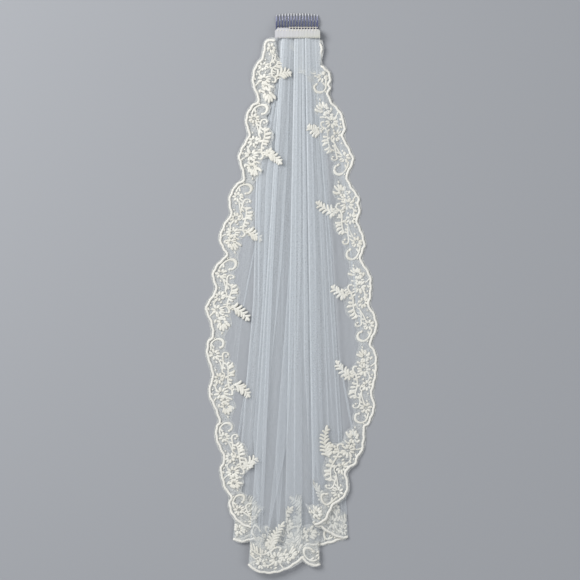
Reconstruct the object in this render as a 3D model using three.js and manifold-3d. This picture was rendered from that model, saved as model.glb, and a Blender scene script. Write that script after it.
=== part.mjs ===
// A fingertip bridal veil on a hair comb, laid flat on a surface.
// One oval sheet of tulle is folded into knife pleats that fan out from a narrow
// heading band. A corded, scalloped lace border runs down the left edge, across the
// hem and up the right edge, with leafy fronds that point in over the tulle.
// Millimetres. +X is to the right, +Y towards the comb's teeth, +Z up from the surface.
// The origin is the middle of the comb spine's underside, on the surface.
import * as THREE from 'three';
import { mergeVertices } from 'three/addons/utils/BufferGeometryUtils.js';
import Module from 'manifold-3d';

const wasm = await Module();
wasm.setup();

// Comb: a clear moulded comb, 3 inches wide, whose teeth bow up and come down at the tips.
const comb = {
  width: 74.2, teeth: 15, spineHigh: 7, spineThick: 3,
  toothLength: 27.5, tipArch: 3, toothWidth: 2.3, endToothWidth: 3.2, tipWidth: 1.3,
  toothThick: 1.6, bow: 4.2,
};

// Heading band: a strip folded over the gathered top of the tulle, seated on the spine.
const band = {
  width: 79, top: 1.6, bottom: -14.9, cornerCut: 4, wall: 1.2, gap: 0.3, centreX: 0.9,
};

// The pleats fan out from a point above the comb. Angles are from the -Y direction, in
// radians, positive to the right.
const fan = { x: 6.3, y: 492.6, leftAngle: -0.085, rightAngle: 0.060 };

const cloth = {
  tulle: 1.0,       // wall of the tulle sheet
  lace: 1.0,        // wall of the lace border
  cordWidth: 3.2,   // corded outer edge
  cordHigh: 2.3,
  hemCordHigh: 1.3,
  seat: 0.35,       // clearance between one piece and the next
  hemSeat: 0.8,     // and between lace and cord where they turn over a fold
};

// Height from one layer of tulle to the next: pressed in the band, airy below it.
const pitch = { inBand: 1.36, below: 2.7, from: 509, to: 600 };

// How far the sheet is lifted where it leaves the band, above the comb's spine.
const lift = { atBand: comb.spineThick + band.gap + band.wall + band.gap, from: 509, to: 600 };

// Each row is one fold of the sheet, from the left lace edge to the right one: how far
// across the fan it lies, and how far the hem is from the fan's point there.
const folds = [
  { across: 0.20, hem: 1361 },
  { across: 0.00, hem: 1376 },
  { across: 0.60, hem: 1398 },
  { across: 0.15, hem: 1419 },
  { across: 0.75, hem: 1419 },
  { across: 0.45, hem: 1400 },
  { across: 1.00, hem: 1376 },
  { across: 0.70, hem: 1354 },
];
const cell = 0.05;               // spacing of the columns across the fan
const coverMargin = cell;        // a layer holds up the next one this far past its fold
const coverRamp = 4 * cell;      // and the next one comes down over this width

// Lace on a sloping part of the tulle spans hollows of this width.
const drapeSpan = 5;

// A fold swells out past its line, and its inner side lies this far in.
const foldShape = { swell: 0.5, inset: 1.0 };

// Rows of the tulle: inside the band and just below it as distances from the fan's point,
// then as shares of the way to the hem border.
const tulleHead = [495, 509, 552];
const tulleShares = [0, 0.12, 0.28, 0.45, 0.62, 0.78, 0.9, 1];

// Hem border: its depth, and its scallops.
const hem = { depth: 30, notchEvery: 0.0465, notchAt: 0.2462, scallop: 22 };

// Each row is a notch between two scallops of the side borders, from the heading band
// down: its place, how far the scallop below it bulges, and the border's width there.
const leftNotches = [
  { x: -43.8, y: -16.4, bulge: 5, width: 5 },
  { x: -60.4, y: -50, bulge: 10, width: 13 },
  { x: -68.3, y: -123, bulge: 6, width: 22 },
  { x: -84, y: -181, bulge: 9, width: 28 },
  { x: -94.5, y: -260, bulge: 12, width: 30 },
  { x: -115.5, y: -323, bulge: 11, width: 30 },
  { x: -124.3, y: -393, bulge: 9, width: 30 },
  { x: -142.6, y: -447, bulge: 14, width: 30 },
  { x: -148.2, y: -535, bulge: 9, width: 30 },
  { x: -148.2, y: -602, bulge: 8, width: 30 },
  { x: -136.5, y: -685, bulge: 8, width: 30 },
  { x: -128.3, y: -748, bulge: 10, width: 30 },
  { x: -115.5, y: -815, bulge: 8, width: 28 },
  { x: -89, y: -865, bulge: 0, width: 18 },
];
const rightNotches = [
  { x: 41.5, y: -16.4, bulge: 3, width: 11 },
  { x: 40.3, y: -59, bulge: 10, width: 14 },
  { x: 54.8, y: -108, bulge: 9, width: 22 },
  { x: 81.4, y: -160, bulge: 10, width: 28 },
  { x: 88.4, y: -255, bulge: 12, width: 30 },
  { x: 105.7, y: -335, bulge: 8, width: 30 },
  { x: 112.4, y: -400, bulge: 9, width: 30 },
  { x: 126, y: -482, bulge: 9, width: 30 },
  { x: 128.6, y: -547, bulge: 9, width: 30 },
  { x: 131.3, y: -636, bulge: 7, width: 30 },
  { x: 118.1, y: -694, bulge: 10, width: 30 },
  { x: 85.8, y: -771, bulge: 9, width: 28 },
  { x: 77, y: -821, bulge: 3, width: 22 },
  { x: 40, y: -862, bulge: 0, width: 16 },
];
const stationsPerScallop = 5;
const gapsPerScallop = 2;        // pierced gaps through the lace in each scallop
const tulleInset = 9;            // the tulle stops this far inside the border's notches

// Each row is a leafy frond: how many scallops down the border it grows, and its tip.
const leftFronds = [
  { at: 3.4, tipX: -39, tipY: -226 },
  { at: 5.2, tipX: -62, tipY: -366 },
  { at: 7.2, tipX: -83, tipY: -508 },
  { at: 9.1, tipX: -82, tipY: -642 },
  { at: 10.6, tipX: -68, tipY: -748 },
];
const rightFronds = [
  { at: 3.4, tipX: 28, tipY: -172 },
  { at: 4.9, tipX: 33, tipY: -300 },
  { at: 6.9, tipX: 59, tipY: -447 },
  { at: 8.7, tipX: 68, tipY: -576 },
  { at: 10.2, tipX: 55, tipY: -684 },
];
const leaf = { pairs: 4, length: 13, width: 6.5, stem: 4, rooted: 8 };

const joinTolerance = 0.03;

const lerp = (a, b, f) => a + (b - a) * f;
const clamp01 = (v) => Math.min(1, Math.max(0, v));
const fanAngle = (across) => lerp(fan.leftAngle, fan.rightAngle, across);
const acrossOf = (angle) => (angle - fan.leftAngle) / (fan.rightAngle - fan.leftAngle);

// A point at a distance and an angle from the fan's point.
function fanPoint(radius, angle, z) {
  return new THREE.Vector3(fan.x + radius * Math.sin(angle), fan.y - radius * Math.cos(angle), z);
}

function radiusAndAngle(x, y) {
  return { radius: Math.hypot(x - fan.x, fan.y - y), angle: Math.atan2(x - fan.x, fan.y - y) };
}

// The layers of the folded sheet. Even ones run to the right, odd ones back to the left.
const layers = [];
for (let k = 0; k <= folds.length; k += 1) {
  const start = k === 0 ? -1 : folds[k - 1].across;
  const end = k === folds.length ? 2 : folds[k].across;
  layers.push({ low: Math.min(start, end), high: Math.max(start, end) });
}

// How much of its thickness a layer lends to the ones above it at one place.
function cover(layer, across) {
  const past = Math.max(layer.low - across, across - layer.high) - coverMargin;
  return 1 - clamp01(past / coverRamp);
}

// Underside of layer k: every layer below it that reaches this place lifts it by one pitch.
function layerHeight(k, across, radius) {
  let covers = 0;
  for (let below = 0; below < k; below += 1) covers += cover(layers[below], across);
  const step = lerp(pitch.inBand, pitch.below, clamp01((radius - pitch.from) / (pitch.to - pitch.from)));
  const raised = lift.atBand * (1 - clamp01((radius - lift.from) / (lift.to - lift.from)));
  return covers * step + raised;
}

// A closed wall from two faces of the same grid. Columns run to the right and rows away
// from the comb; faceA looks down where the first column does. keep leaves cells open.
function wallGeometry(faceA, faceB, keep = () => true) {
  const columns = faceA.length;
  const rows = faceA[0].length;
  const positions = [];
  for (const face of [faceA, faceB]) {
    for (const column of face) for (const point of column) positions.push(point.x, point.y, point.z);
  }
  const a = (i, j) => i * rows + j;
  const b = (i, j) => columns * rows + a(i, j);
  const inside = (i, j) => i >= 0 && j >= 0 && i < columns - 1 && j < rows - 1 && keep(i, j);
  const index = [];
  for (let i = 0; i < columns - 1; i += 1) {
    for (let j = 0; j < rows - 1; j += 1) {
      if (!inside(i, j)) continue;
      index.push(a(i, j), a(i + 1, j), a(i + 1, j + 1), a(i, j), a(i + 1, j + 1), a(i, j + 1));
      index.push(b(i, j), b(i + 1, j + 1), b(i + 1, j), b(i, j), b(i, j + 1), b(i + 1, j + 1));
      const edges = [
        { open: !inside(i, j - 1), from: [i, j], to: [i + 1, j] },
        { open: !inside(i + 1, j), from: [i + 1, j], to: [i + 1, j + 1] },
        { open: !inside(i, j + 1), from: [i + 1, j + 1], to: [i, j + 1] },
        { open: !inside(i - 1, j), from: [i, j + 1], to: [i, j] },
      ];
      for (const edge of edges) {
        if (!edge.open) continue;
        index.push(a(...edge.to), a(...edge.from), b(...edge.from));
        index.push(a(...edge.to), b(...edge.from), b(...edge.to));
      }
    }
  }
  const geometry = new THREE.BufferGeometry();
  geometry.setAttribute('position', new THREE.Float32BufferAttribute(positions, 3));
  geometry.setIndex(index);
  return dropUnused(geometry);
}

// Corners of open cells that no triangle uses are taken out.
function dropUnused(geometry) {
  const source = geometry.getAttribute('position');
  const renumbered = new Map();
  const positions = [];
  const index = Array.from(geometry.getIndex().array, (old) => {
    if (!renumbered.has(old)) {
      renumbered.set(old, renumbered.size);
      positions.push(source.getX(old), source.getY(old), source.getZ(old));
    }
    return renumbered.get(old);
  });
  const packed = new THREE.BufferGeometry();
  packed.setAttribute('position', new THREE.Float32BufferAttribute(positions, 3));
  packed.setIndex(index);
  return packed;
}

// The folded sheet as a row of columns. Each has the layer it is on, its place across the
// fan, its distance along the unfolded sheet, and at a fold which way it turns.
function sheetColumns() {
  const columns = [];
  let unfolded = 0;
  for (let k = 1; k < folds.length; k += 1) {
    const start = folds[k - 1];
    const end = folds[k];
    const steps = Math.round(Math.abs(end.across - start.across) / cell);
    const span = Math.abs(fanAngle(end.across) - fanAngle(start.across));
    if (k === 1) columns.push(...turnColumns(0, start, unfolded));
    for (let i = 1; i < steps; i += 1) {
      const f = i / steps;
      columns.push({ layer: k, across: lerp(start.across, end.across, f), unfolded: unfolded + span * f,
        hem: lerp(start.hem, end.hem, f), turn: 0, up: 0 });
    }
    unfolded += span;
    columns.push(...turnColumns(k, end, unfolded));
  }
  return columns;
}

// Three columns take the sheet round a fold, from layer k up to the next one.
function turnColumns(k, fold, unfolded) {
  const turn = k % 2 === 0 ? 1 : -1;
  return [0, 0.5, 1].map((up) => ({
    layer: k, across: fold.across, unfolded, hem: fold.hem, turn, up,
  }));
}

// The two faces of the sheet at one column and distance, for a wall of one thickness.
function facePair(column, radius, angle, thickness) {
  const low = layerHeight(column.layer, acrossOf(angle), radius);
  const downFaceFirst = column.layer % 2 === 0;
  if (column.turn === 0) {
    const under = fanPoint(radius, angle, low);
    const over = fanPoint(radius, angle, low + thickness);
    return downFaceFirst ? [under, over] : [over, under];
  }
  const high = layerHeight(column.layer + 1, acrossOf(angle), radius);
  const swell = foldShape.swell * Math.sin(Math.PI * column.up);
  const outer = fanPoint(radius, angle + column.turn * swell / radius, lerp(low, high + thickness, column.up));
  const inset = column.turn * foldShape.inset / radius;
  const inner = fanPoint(radius, angle - inset, lerp(low + thickness, high, column.up));
  return downFaceFirst ? [outer, inner] : [inner, outer];
}

// The border's outer edge at one place along the unfolded hem.
function hemRadius(column) {
  const wave = Math.abs(Math.sin(Math.PI * (column.unfolded - hem.notchAt) / hem.notchEvery));
  return column.hem + hem.scallop * wave;
}

// A side border as stations along its edge: the smooth line through the notches, the way
// out from it, and how far the scallop and the lace reach.
function borderStations(notches, outSign) {
  const line = new THREE.SplineCurve(notches.map((n) => new THREE.Vector2(n.x, n.y)));
  const stations = [];
  const last = notches.length - 1;
  for (let i = 0; i <= last * stationsPerScallop; i += 1) {
    const scallop = Math.min(Math.floor(i / stationsPerScallop), last - 1);
    const f = i / stationsPerScallop - scallop;
    const t = i / (last * stationsPerScallop);
    const base = line.getPoint(t);
    const along = line.getTangent(t);
    const out = new THREE.Vector2(along.y, -along.x).multiplyScalar(-outSign);
    const width = lerp(notches[scallop].width, notches[scallop + 1].width, f);
    stations.push({ base, out, bulge: notches[scallop].bulge * Math.sin(Math.PI * f), width, step: i });
  }
  return stations;
}

const leftStations = borderStations(leftNotches, -1);
const rightStations = borderStations(rightNotches, 1);

// The angle at which a side border's line, moved inwards, lies at one distance.
function borderAngle(stations, inset, radius) {
  const spots = stations.map((s) => radiusAndAngle(s.base.x - s.out.x * inset, s.base.y - s.out.y * inset));
  for (let i = 1; i < spots.length; i += 1) {
    if (radius <= spots[i].radius || i === spots.length - 1) {
      const f = clamp01((radius - spots[i - 1].radius) / (spots[i].radius - spots[i - 1].radius));
      return lerp(spots[i - 1].angle, spots[i].angle, f);
    }
  }
  return spots[0].angle;
}

function tulleRows(column, sideEnd) {
  const hemLine = column.fold ? column.fold.hem - sideEnd * column.share : column.hem;
  const end = hemLine - hem.depth - cloth.seat;
  return [...tulleHead, ...tulleShares.map((share) => lerp(pitch.to, end, share))];
}

// Tulle: the side panels reach from their border to the first and the last fold.
function tulleGeometry() {
  const leftSteps = 6;
  const rightSteps = 11;
  const columns = [];
  const first = folds[0];
  const last = folds[folds.length - 1];
  for (let i = 0; i < leftSteps; i += 1) {
    columns.push({ layer: 0, side: leftStations, fold: first, share: 1 - i / leftSteps, turn: 0, up: 0 });
  }
  columns.push(...sheetColumns());
  for (let i = 1; i <= rightSteps; i += 1) {
    columns.push({ layer: folds.length, side: rightStations, fold: last, share: i / rightSteps, turn: 0, up: 0 });
  }
  const sideEnd = 34;              // the side panels stop this much short at their corner
  const faces = columns.map((column) => tulleRows(column, sideEnd).map((radius) => {
    let angle = fanAngle(column.across);
    if (column.fold) {
      const foldAngle = fanAngle(column.fold.across);
      angle = lerp(foldAngle, borderAngle(column.side, tulleInset, radius), column.share);
    }
    return facePair(column, radius, angle, cloth.tulle);
  }));
  return wallGeometry(faces.map((c) => c.map((p) => p[0])), faces.map((c) => c.map((p) => p[1])));
}

// Hem border: the lace that ends the pleats, in line with the tulle, pierced between its
// rim and its inner edge.
function hemLaceGeometry() {
  const columns = sheetColumns();
  const shares = [0, 0.2, 0.45, 0.72, 1];
  const faces = columns.map((column) => shares.map((share) => {
    const outer = hemRadius(column) - cloth.cordWidth - cloth.hemSeat;
    const radius = lerp(column.hem - hem.depth, outer, share);
    return facePair(column, radius, fanAngle(column.across), cloth.lace);
  }));
  const keep = (i, j) => {
    const clearOfFold = columns[i].turn === 0 && columns[i + 1].turn === 0;
    const rib = i % 3 === 0;
    return !(clearOfFold && !rib && j === 2);
  };
  return wallGeometry(faces.map((c) => c.map((p) => p[0])), faces.map((c) => c.map((p) => p[1])), keep);
}

function hemCordGeometry() {
  const faces = sheetColumns().map((column) => [cloth.cordWidth, 0].map((inset) => (
    facePair(column, hemRadius(column) - inset, fanAngle(column.across), cloth.hemCordHigh))));
  return wallGeometry(faces.map((c) => c.map((p) => p[0])), faces.map((c) => c.map((p) => p[1])));
}

// Top of the tulle's side panel near a place in plan: the left one lies lowest of all, the
// right one over all the others. What lies on it spans its hollows.
function panelTop(k, x, y) {
  const heights = [-drapeSpan, 0, drapeSpan].map((shift) => {
    const spot = radiusAndAngle(x + shift, y);
    return layerHeight(k, acrossOf(spot.angle), spot.radius);
  });
  return Math.max(...heights) + cloth.tulle;
}

function asManifold(geometry) {
  const bare = geometry.clone();
  bare.deleteAttribute('normal');
  bare.deleteAttribute('uv');
  const merged = mergeVertices(bare, 1e-4);
  return new wasm.Manifold(new wasm.Mesh({
    numProp: 3,
    vertProperties: new Float32Array(merged.getAttribute('position').array),
    triVerts: new Uint32Array(merged.getIndex().array),
  }));
}

// Slivers thinner than the tolerance, left where joined pieces cross, are merged away.
function fromManifold(solid) {
  const mesh = solid.simplify(joinTolerance).getMesh();
  const geometry = new THREE.BufferGeometry();
  geometry.setAttribute('position', new THREE.BufferAttribute(new Float32Array(mesh.vertProperties), 3));
  geometry.setIndex(Array.from(mesh.triVerts));
  return geometry;
}

// A flat piece of lace with a given outline, counter-clockwise, that follows a surface.
function plate(outline, levelAt, thickness) {
  const count = outline.length;
  const positions = [];
  for (const raise of [0, thickness]) {
    for (const p of outline) positions.push(p.x, p.y, levelAt(p.x, p.y) + raise);
  }
  const index = [];
  for (const [p, q, r] of THREE.ShapeUtils.triangulateShape(outline, [])) {
    index.push(p, r, q, count + p, count + q, count + r);
  }
  for (let i = 0; i < count; i += 1) {
    const next = (i + 1) % count;
    index.push(i, next, count + next, i, count + next, count + i);
  }
  const geometry = new THREE.BufferGeometry();
  geometry.setAttribute('position', new THREE.Float32BufferAttribute(positions, 3));
  geometry.setIndex(index);
  return geometry;
}

function leafOutline(root, direction, length, width) {
  const side = new THREE.Vector2(-direction.y, direction.x);
  const shape = [[0, 0.12], [0.45, 0.5], [1, 0.08], [1, -0.08], [0.45, -0.5], [0, -0.12]];
  return shape.map(([along, across]) => root.clone()
    .addScaledVector(direction, along * length).addScaledVector(side, across * width)).reverse();
}

function stemOutline(root, direction, length) {
  const side = new THREE.Vector2(-direction.y, direction.x);
  const steps = 8;
  const edge = (sign, i) => root.clone().addScaledVector(direction, length * i / steps)
    .addScaledVector(side, sign * leaf.stem / 2 * (i === steps ? 0.3 : 1));
  const right = Array.from({ length: steps + 1 }, (_, i) => edge(-1, i));
  const left = Array.from({ length: steps + 1 }, (_, i) => edge(1, steps - i));
  return [...right, ...left];
}

// A frond: a stem from the border to a long tip leaf, with pairs of leaves that get
// shorter towards the tip.
function frondPlates(frond, stations, levelAt) {
  const station = stations[Math.round(frond.at * stationsPerScallop)];
  const root = station.base.clone().addScaledVector(station.out, leaf.rooted - station.width);
  const tip = new THREE.Vector2(frond.tipX, frond.tipY);
  const direction = tip.clone().sub(root).normalize();
  const length = tip.distanceTo(root);
  const thickness = cloth.lace * 0.9;
  const parts = [plate(stemOutline(root, direction, length), levelAt, thickness)];
  for (let i = 0; i < leaf.pairs; i += 1) {
    const f = (i + 0.4) / leaf.pairs;
    const spot = root.clone().addScaledVector(direction, length * f * 0.9);
    const size = lerp(1, 0.6, f);
    for (const lean of [-0.95, 0.95]) {
      const way = direction.clone().rotateAround(new THREE.Vector2(0, 0), lean);
      const outline = leafOutline(spot, way, leaf.length * size, leaf.width * size);
      parts.push(plate(outline, levelAt, thickness));
    }
  }
  return parts;
}

// Side border: a scalloped strip of lace sewn over the tulle, pierced between its ribs,
// with its fronds joined to it.
function sideLaceGeometry(stations, fronds, k, mirrored) {
  const levelAt = (x, y) => panelTop(k, x, y) + cloth.seat;
  const shares = [0, 0.28, 0.66, 1];
  const ordered = mirrored ? [...shares].reverse() : shares;
  const faces = stations.map((station) => ordered.map((share) => {
    const outer = station.bulge - cloth.cordWidth - cloth.seat;
    const reach = lerp(-station.width, outer, share);
    const x = station.base.x + station.out.x * reach;
    const y = station.base.y + station.out.y * reach;
    const z = levelAt(x, y);
    return [new THREE.Vector3(x, y, z), new THREE.Vector3(x, y, z + cloth.lace)];
  }));
  const gapEvery = stationsPerScallop / gapsPerScallop;
  const keep = (i, j) => {
    const rib = Math.floor(i % gapEvery) === 0;
    return rib || j !== 1;
  };
  const strip = wallGeometry(faces.map((c) => c.map((p) => p[0])), faces.map((c) => c.map((p) => p[1])), keep);
  let solid = asManifold(strip);
  for (const frond of fronds) {
    const parts = frondPlates(frond, stations, (x, y) => levelAt(x, y) + 0.05);
    for (const part of parts) solid = solid.add(asManifold(part));
  }
  return fromManifold(solid);
}

// Side cord: a thick thread laid round every scallop, from the surface up to the lace.
function sideCordGeometry(stations, k, mirrored) {
  const insets = mirrored ? [0, cloth.cordWidth] : [cloth.cordWidth, 0];
  const faces = stations.map((station) => insets.map((inset) => {
    const reach = station.bulge - inset;
    const x = station.base.x + station.out.x * reach;
    const y = station.base.y + station.out.y * reach;
    const z = panelTop(k, x, y) - cloth.tulle;
    return [new THREE.Vector3(x, y, z), new THREE.Vector3(x, y, z + cloth.cordHigh)];
  }));
  return wallGeometry(faces.map((c) => c.map((p) => p[0])), faces.map((c) => c.map((p) => p[1])));
}

// Comb: each tooth is a tapered bar along a bowed line, joined to the spine.
function toothGeometry(x, length, rootWidth) {
  const sections = 6;
  const start = comb.spineHigh / 2 - 1;
  const faces = [-1, 1].map((side) => {
    const column = [];
    for (let i = sections; i >= 0; i -= 1) {
      const f = i / sections;
      const y = lerp(start, comb.spineHigh / 2 + length, f);
      const z = comb.bow * Math.sin(Math.PI * f) + 0.6 * (1 - f);
      const half = lerp(rootWidth, comb.tipWidth, f ** 3) / 2;
      column.push([new THREE.Vector3(x + side * half, y, z), new THREE.Vector3(x + side * half, y, z + comb.toothThick)]);
    }
    return column;
  });
  return wallGeometry(faces.map((c) => c.map((p) => p[0])), faces.map((c) => c.map((p) => p[1])));
}

function combGeometry() {
  const spine = new THREE.BoxGeometry(comb.width, comb.spineHigh, comb.spineThick);
  spine.translate(0, 0, comb.spineThick / 2);
  let solid = asManifold(spine);
  const first = (comb.endToothWidth - comb.width) / 2;
  for (let i = 0; i < comb.teeth; i += 1) {
    const f = i / (comb.teeth - 1);
    const x = lerp(first, -first, f);
    const length = comb.toothLength - comb.tipArch * (2 * f - 1) ** 2;
    const atEnd = i === 0 || i === comb.teeth - 1;
    solid = solid.add(asManifold(toothGeometry(x, length, atEnd ? comb.endToothWidth : comb.toothWidth)));
  }
  return fromManifold(solid);
}

// Highest point of the gathered tulle inside the band.
function gatherTop() {
  let top = 0;
  layers.forEach((layer, k) => {
    for (let across = Math.max(layer.low, 0); across <= Math.min(layer.high, 1) + cell / 2; across += cell) {
      top = Math.max(top, layerHeight(k, across, pitch.from) + cloth.tulle);
    }
  });
  return top;
}

// Heading band: the strip's section is a U on its side, closed towards the teeth, and its
// two upper corners are cut back.
function bandGeometry() {
  const floor = comb.spineThick + band.gap;
  const ceiling = gatherTop() + band.gap;
  const outline = new THREE.Shape();
  outline.moveTo(band.bottom, floor);
  outline.lineTo(band.top, floor);
  outline.lineTo(band.top, ceiling + band.wall);
  outline.lineTo(band.bottom, ceiling + band.wall);
  outline.lineTo(band.bottom, ceiling);
  outline.lineTo(band.top - band.wall, ceiling);
  outline.lineTo(band.top - band.wall, floor + band.wall);
  outline.lineTo(band.bottom, floor + band.wall);
  outline.closePath();
  const geometry = new THREE.ExtrudeGeometry(outline, { depth: band.width, steps: 1, bevelEnabled: false });
  geometry.applyMatrix4(new THREE.Matrix4().makeBasis(
    new THREE.Vector3(0, 1, 0), new THREE.Vector3(0, 0, 1), new THREE.Vector3(1, 0, 0)));
  geometry.translate(band.centreX - band.width / 2, 0, 0);
  const spots = geometry.getAttribute('position');
  for (let i = 0; i < spots.count; i += 1) {
    if (spots.getY(i) < band.bottom + 1) continue;
    const inward = band.cornerCut * Math.sign(spots.getX(i) - band.centreX);
    spots.setX(i, spots.getX(i) - inward);
  }
  return geometry;
}

const finishes = {
  clearPlastic: new THREE.MeshStandardMaterial({
    color: '#c9cfd6', roughness: 0.15, metalness: 0, transparent: true, opacity: 0.45 }),
  ribbon: new THREE.MeshStandardMaterial({ color: '#cfcdc4', roughness: 0.8, metalness: 0 }),
  tulle: new THREE.MeshStandardMaterial({
    color: '#b4bcc2', roughness: 0.9, metalness: 0, transparent: true, opacity: 0.5 }),
  lace: new THREE.MeshStandardMaterial({ color: '#d6d4ca', roughness: 0.85, metalness: 0 }),
  cord: new THREE.MeshStandardMaterial({ color: '#dedcd2', roughness: 0.8, metalness: 0 }),
};

const veil = new THREE.Group();

function addPiece(name, geometry, material) {
  const mesh = new THREE.Mesh(geometry, material);
  mesh.name = name;
  veil.add(mesh);
}

const topLayer = folds.length;
addPiece('comb', combGeometry(), finishes.clearPlastic);
addPiece('heading_band', bandGeometry(), finishes.ribbon);
addPiece('veil_tulle', tulleGeometry(), finishes.tulle);
addPiece('lace_border_left', sideLaceGeometry(leftStations, leftFronds, 0, false), finishes.lace);
addPiece('lace_border_right', sideLaceGeometry(rightStations, rightFronds, topLayer, true), finishes.lace);
addPiece('lace_border_hem', hemLaceGeometry(), finishes.lace);
addPiece('edge_cord_left', sideCordGeometry(leftStations, 0, false), finishes.cord);
addPiece('edge_cord_right', sideCordGeometry(rightStations, topLayer, true), finishes.cord);
addPiece('edge_cord_hem', hemCordGeometry(), finishes.cord);

export default veil;
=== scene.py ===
"""The looks of a fingertip bridal veil on a clear hair comb, laid flat and seen from straight above.

Sizes are in millimetres and turned to metres as each mesh is made. +X is to the right, +Y towards the
comb's teeth and +Z up from the surface.
"""

import math

import bmesh
import bpy
import numpy as np
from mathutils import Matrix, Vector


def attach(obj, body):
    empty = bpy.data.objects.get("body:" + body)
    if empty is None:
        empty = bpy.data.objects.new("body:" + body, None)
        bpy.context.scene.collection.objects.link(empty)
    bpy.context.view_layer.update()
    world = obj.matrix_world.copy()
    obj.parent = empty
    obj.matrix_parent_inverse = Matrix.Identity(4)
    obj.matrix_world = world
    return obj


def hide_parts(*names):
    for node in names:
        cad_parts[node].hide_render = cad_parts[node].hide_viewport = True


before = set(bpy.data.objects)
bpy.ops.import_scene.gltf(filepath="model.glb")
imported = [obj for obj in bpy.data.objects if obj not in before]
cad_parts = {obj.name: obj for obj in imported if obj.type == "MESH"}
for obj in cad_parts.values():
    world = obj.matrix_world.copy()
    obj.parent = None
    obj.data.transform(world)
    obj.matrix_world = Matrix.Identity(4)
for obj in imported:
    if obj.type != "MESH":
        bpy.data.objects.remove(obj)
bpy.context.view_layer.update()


# The comb is a clear moulded comb, 3 inches wide: a rounded spine and fifteen teeth that bow up and
# come down at their tips. It is one piece of polystyrene out of a polished mould.

COMB_WIDTH = 74.2
SPINE_HIGH = 7.0
SPINE_THICK = 3.0
TEETH = 15
TOOTH_LENGTH = 27.5
TIP_ARCH = 3.0
TOOTH_WIDTH = 2.3
END_TOOTH_WIDTH = 3.2
TIP_WIDTH = 1.8
TOOTH_THICK = 1.6
BOW = 4.2
ROOT_SUNK = 1.0
ROOT_LIFT = 0.6

# Where a tooth's tip and the spine's end begin to round off, and over how much, as shares of the length.
TIP_ROUND = 0.965, 0.036
SPINE_ROUND = 0.485, 0.0152


def linear(hex_colour):
    """sRGB hex to the linear colour of shaders: c/12.92 in the darks, ((c + 0.055)/1.055)^2.4 above."""
    parts = [int(hex_colour[i : i + 2], 16) / 255 for i in (1, 3, 5)]
    return [*(c / 12.92 if c <= 0.04045 else ((c + 0.055) / 1.055) ** 2.4 for c in parts), 1.0]


def add_node(tree, kind, values=None, links=None, **settings):
    """Adds one shader node with its settings, the values of its sockets and its links."""
    node = tree.nodes.new("ShaderNode" + kind)
    for key, value in settings.items():
        setattr(node, key, value)
    for socket, value in (values or {}).items():
        node.inputs[socket].default_value = value
    for socket, source in (links or {}).items():
        tree.links.new(source, node.inputs[socket])
    return node


def new_finish(name, **sockets):
    """A material with one Principled shader, whose sockets take the values that are given."""
    material = bpy.data.materials.new(name)
    material.use_nodes = True
    shader = material.node_tree.nodes["Principled BSDF"]
    for socket, value in sockets.items():
        shader.inputs[socket.replace("_", " ")].default_value = value
    return material, material.node_tree, shader


def grid_quads(rows, columns, closed=False):
    """Corner numbers of the quads of a grid that is rows long and columns wide, or round if closed."""
    i, j = np.meshgrid(np.arange(rows - 1), np.arange(columns if closed else columns - 1), indexing="ij")
    k = (j + 1) % columns
    here, below = i * columns, (i + 1) * columns
    return np.stack([here + j, here + k, below + k, below + j], -1).reshape(-1, 4)


def make_piece(name, points, quads, material, uv=None, ends=(), outward=False):
    """A mesh piece from points in millimetres, quads and end caps, with a finish, on the one body. outward
    turns the faces of closed shapes outwards."""
    mesh = bpy.data.meshes.new(name)
    faces = [*np.asarray(quads).tolist(), *(list(map(int, cap)) for cap in ends)]
    mesh.from_pydata((np.asarray(points, float).reshape(-1, 3) / 1000).tolist(), [], faces)
    if uv is not None:
        corner = np.empty(len(mesh.loops), np.int32)
        mesh.loops.foreach_get("vertex_index", corner)
        layer = mesh.uv_layers.new(name="cloth")
        layer.data.foreach_set("uv", np.asarray(uv, np.float32).reshape(-1, 2)[corner].ravel())
    if outward:
        shell = bmesh.new()
        shell.from_mesh(mesh)
        bmesh.ops.recalc_face_normals(shell, faces=shell.faces)
        shell.to_mesh(mesh)
        shell.free()
    mesh.shade_smooth()
    mesh.materials.append(material)
    piece = bpy.data.objects.new(name, mesh)
    bpy.context.collection.objects.link(piece)
    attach(piece, "root")
    return piece


def tube_faces(tubes, stations, ring):
    """Quads and end caps of tubes whose points are numbered tube by tube, station by station and round."""
    starts = np.arange(tubes) * stations * ring
    quads = grid_quads(stations, ring, closed=True)[None] + starts[:, None, None]
    first = starts[:, None] + np.arange(ring)
    return quads.reshape(-1, 4), [*first[:, ::-1], *(first + (stations - 1) * ring)]


def ringed(paths, out, high):
    """Rings of points round paths (..., 3), each on a plane across the path's direction: out to the side of
    its station and high above it. The side is level: the direction (a, b, c) turned to (b, -a, 0)."""
    along = np.gradient(paths, axis=-2)
    along /= np.linalg.norm(along, axis=-1, keepdims=True)
    side = np.stack([along[..., 1], -along[..., 0], np.zeros(along.shape[:-1])], -1)
    side /= np.maximum(np.linalg.norm(side, axis=-1, keepdims=True), 1e-6)
    side, up = side[..., None, :], np.cross(side, along)[..., None, :]
    return (paths[..., None, :] + side * out[..., None] + up * high[..., None]).reshape(-1, 3)


def round_bars(paths, side_half, up_half, ring, power=1.0):
    """Bars along paths (m, p, 3): each station is a superellipse of side_half and up_half (m, p), with
    x = cos^power and z = sin^power. Gives points, quads and end caps."""
    turn = np.arange(ring) * 2 * np.pi / ring
    c, s = np.cos(turn), np.sin(turn)
    c, s = np.sign(c) * np.abs(c) ** power, np.sign(s) * np.abs(s) ** power
    points = ringed(paths, side_half[..., None] * c, up_half[..., None] * s)
    return points, *tube_faces(*paths.shape[:2], ring)


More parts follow.
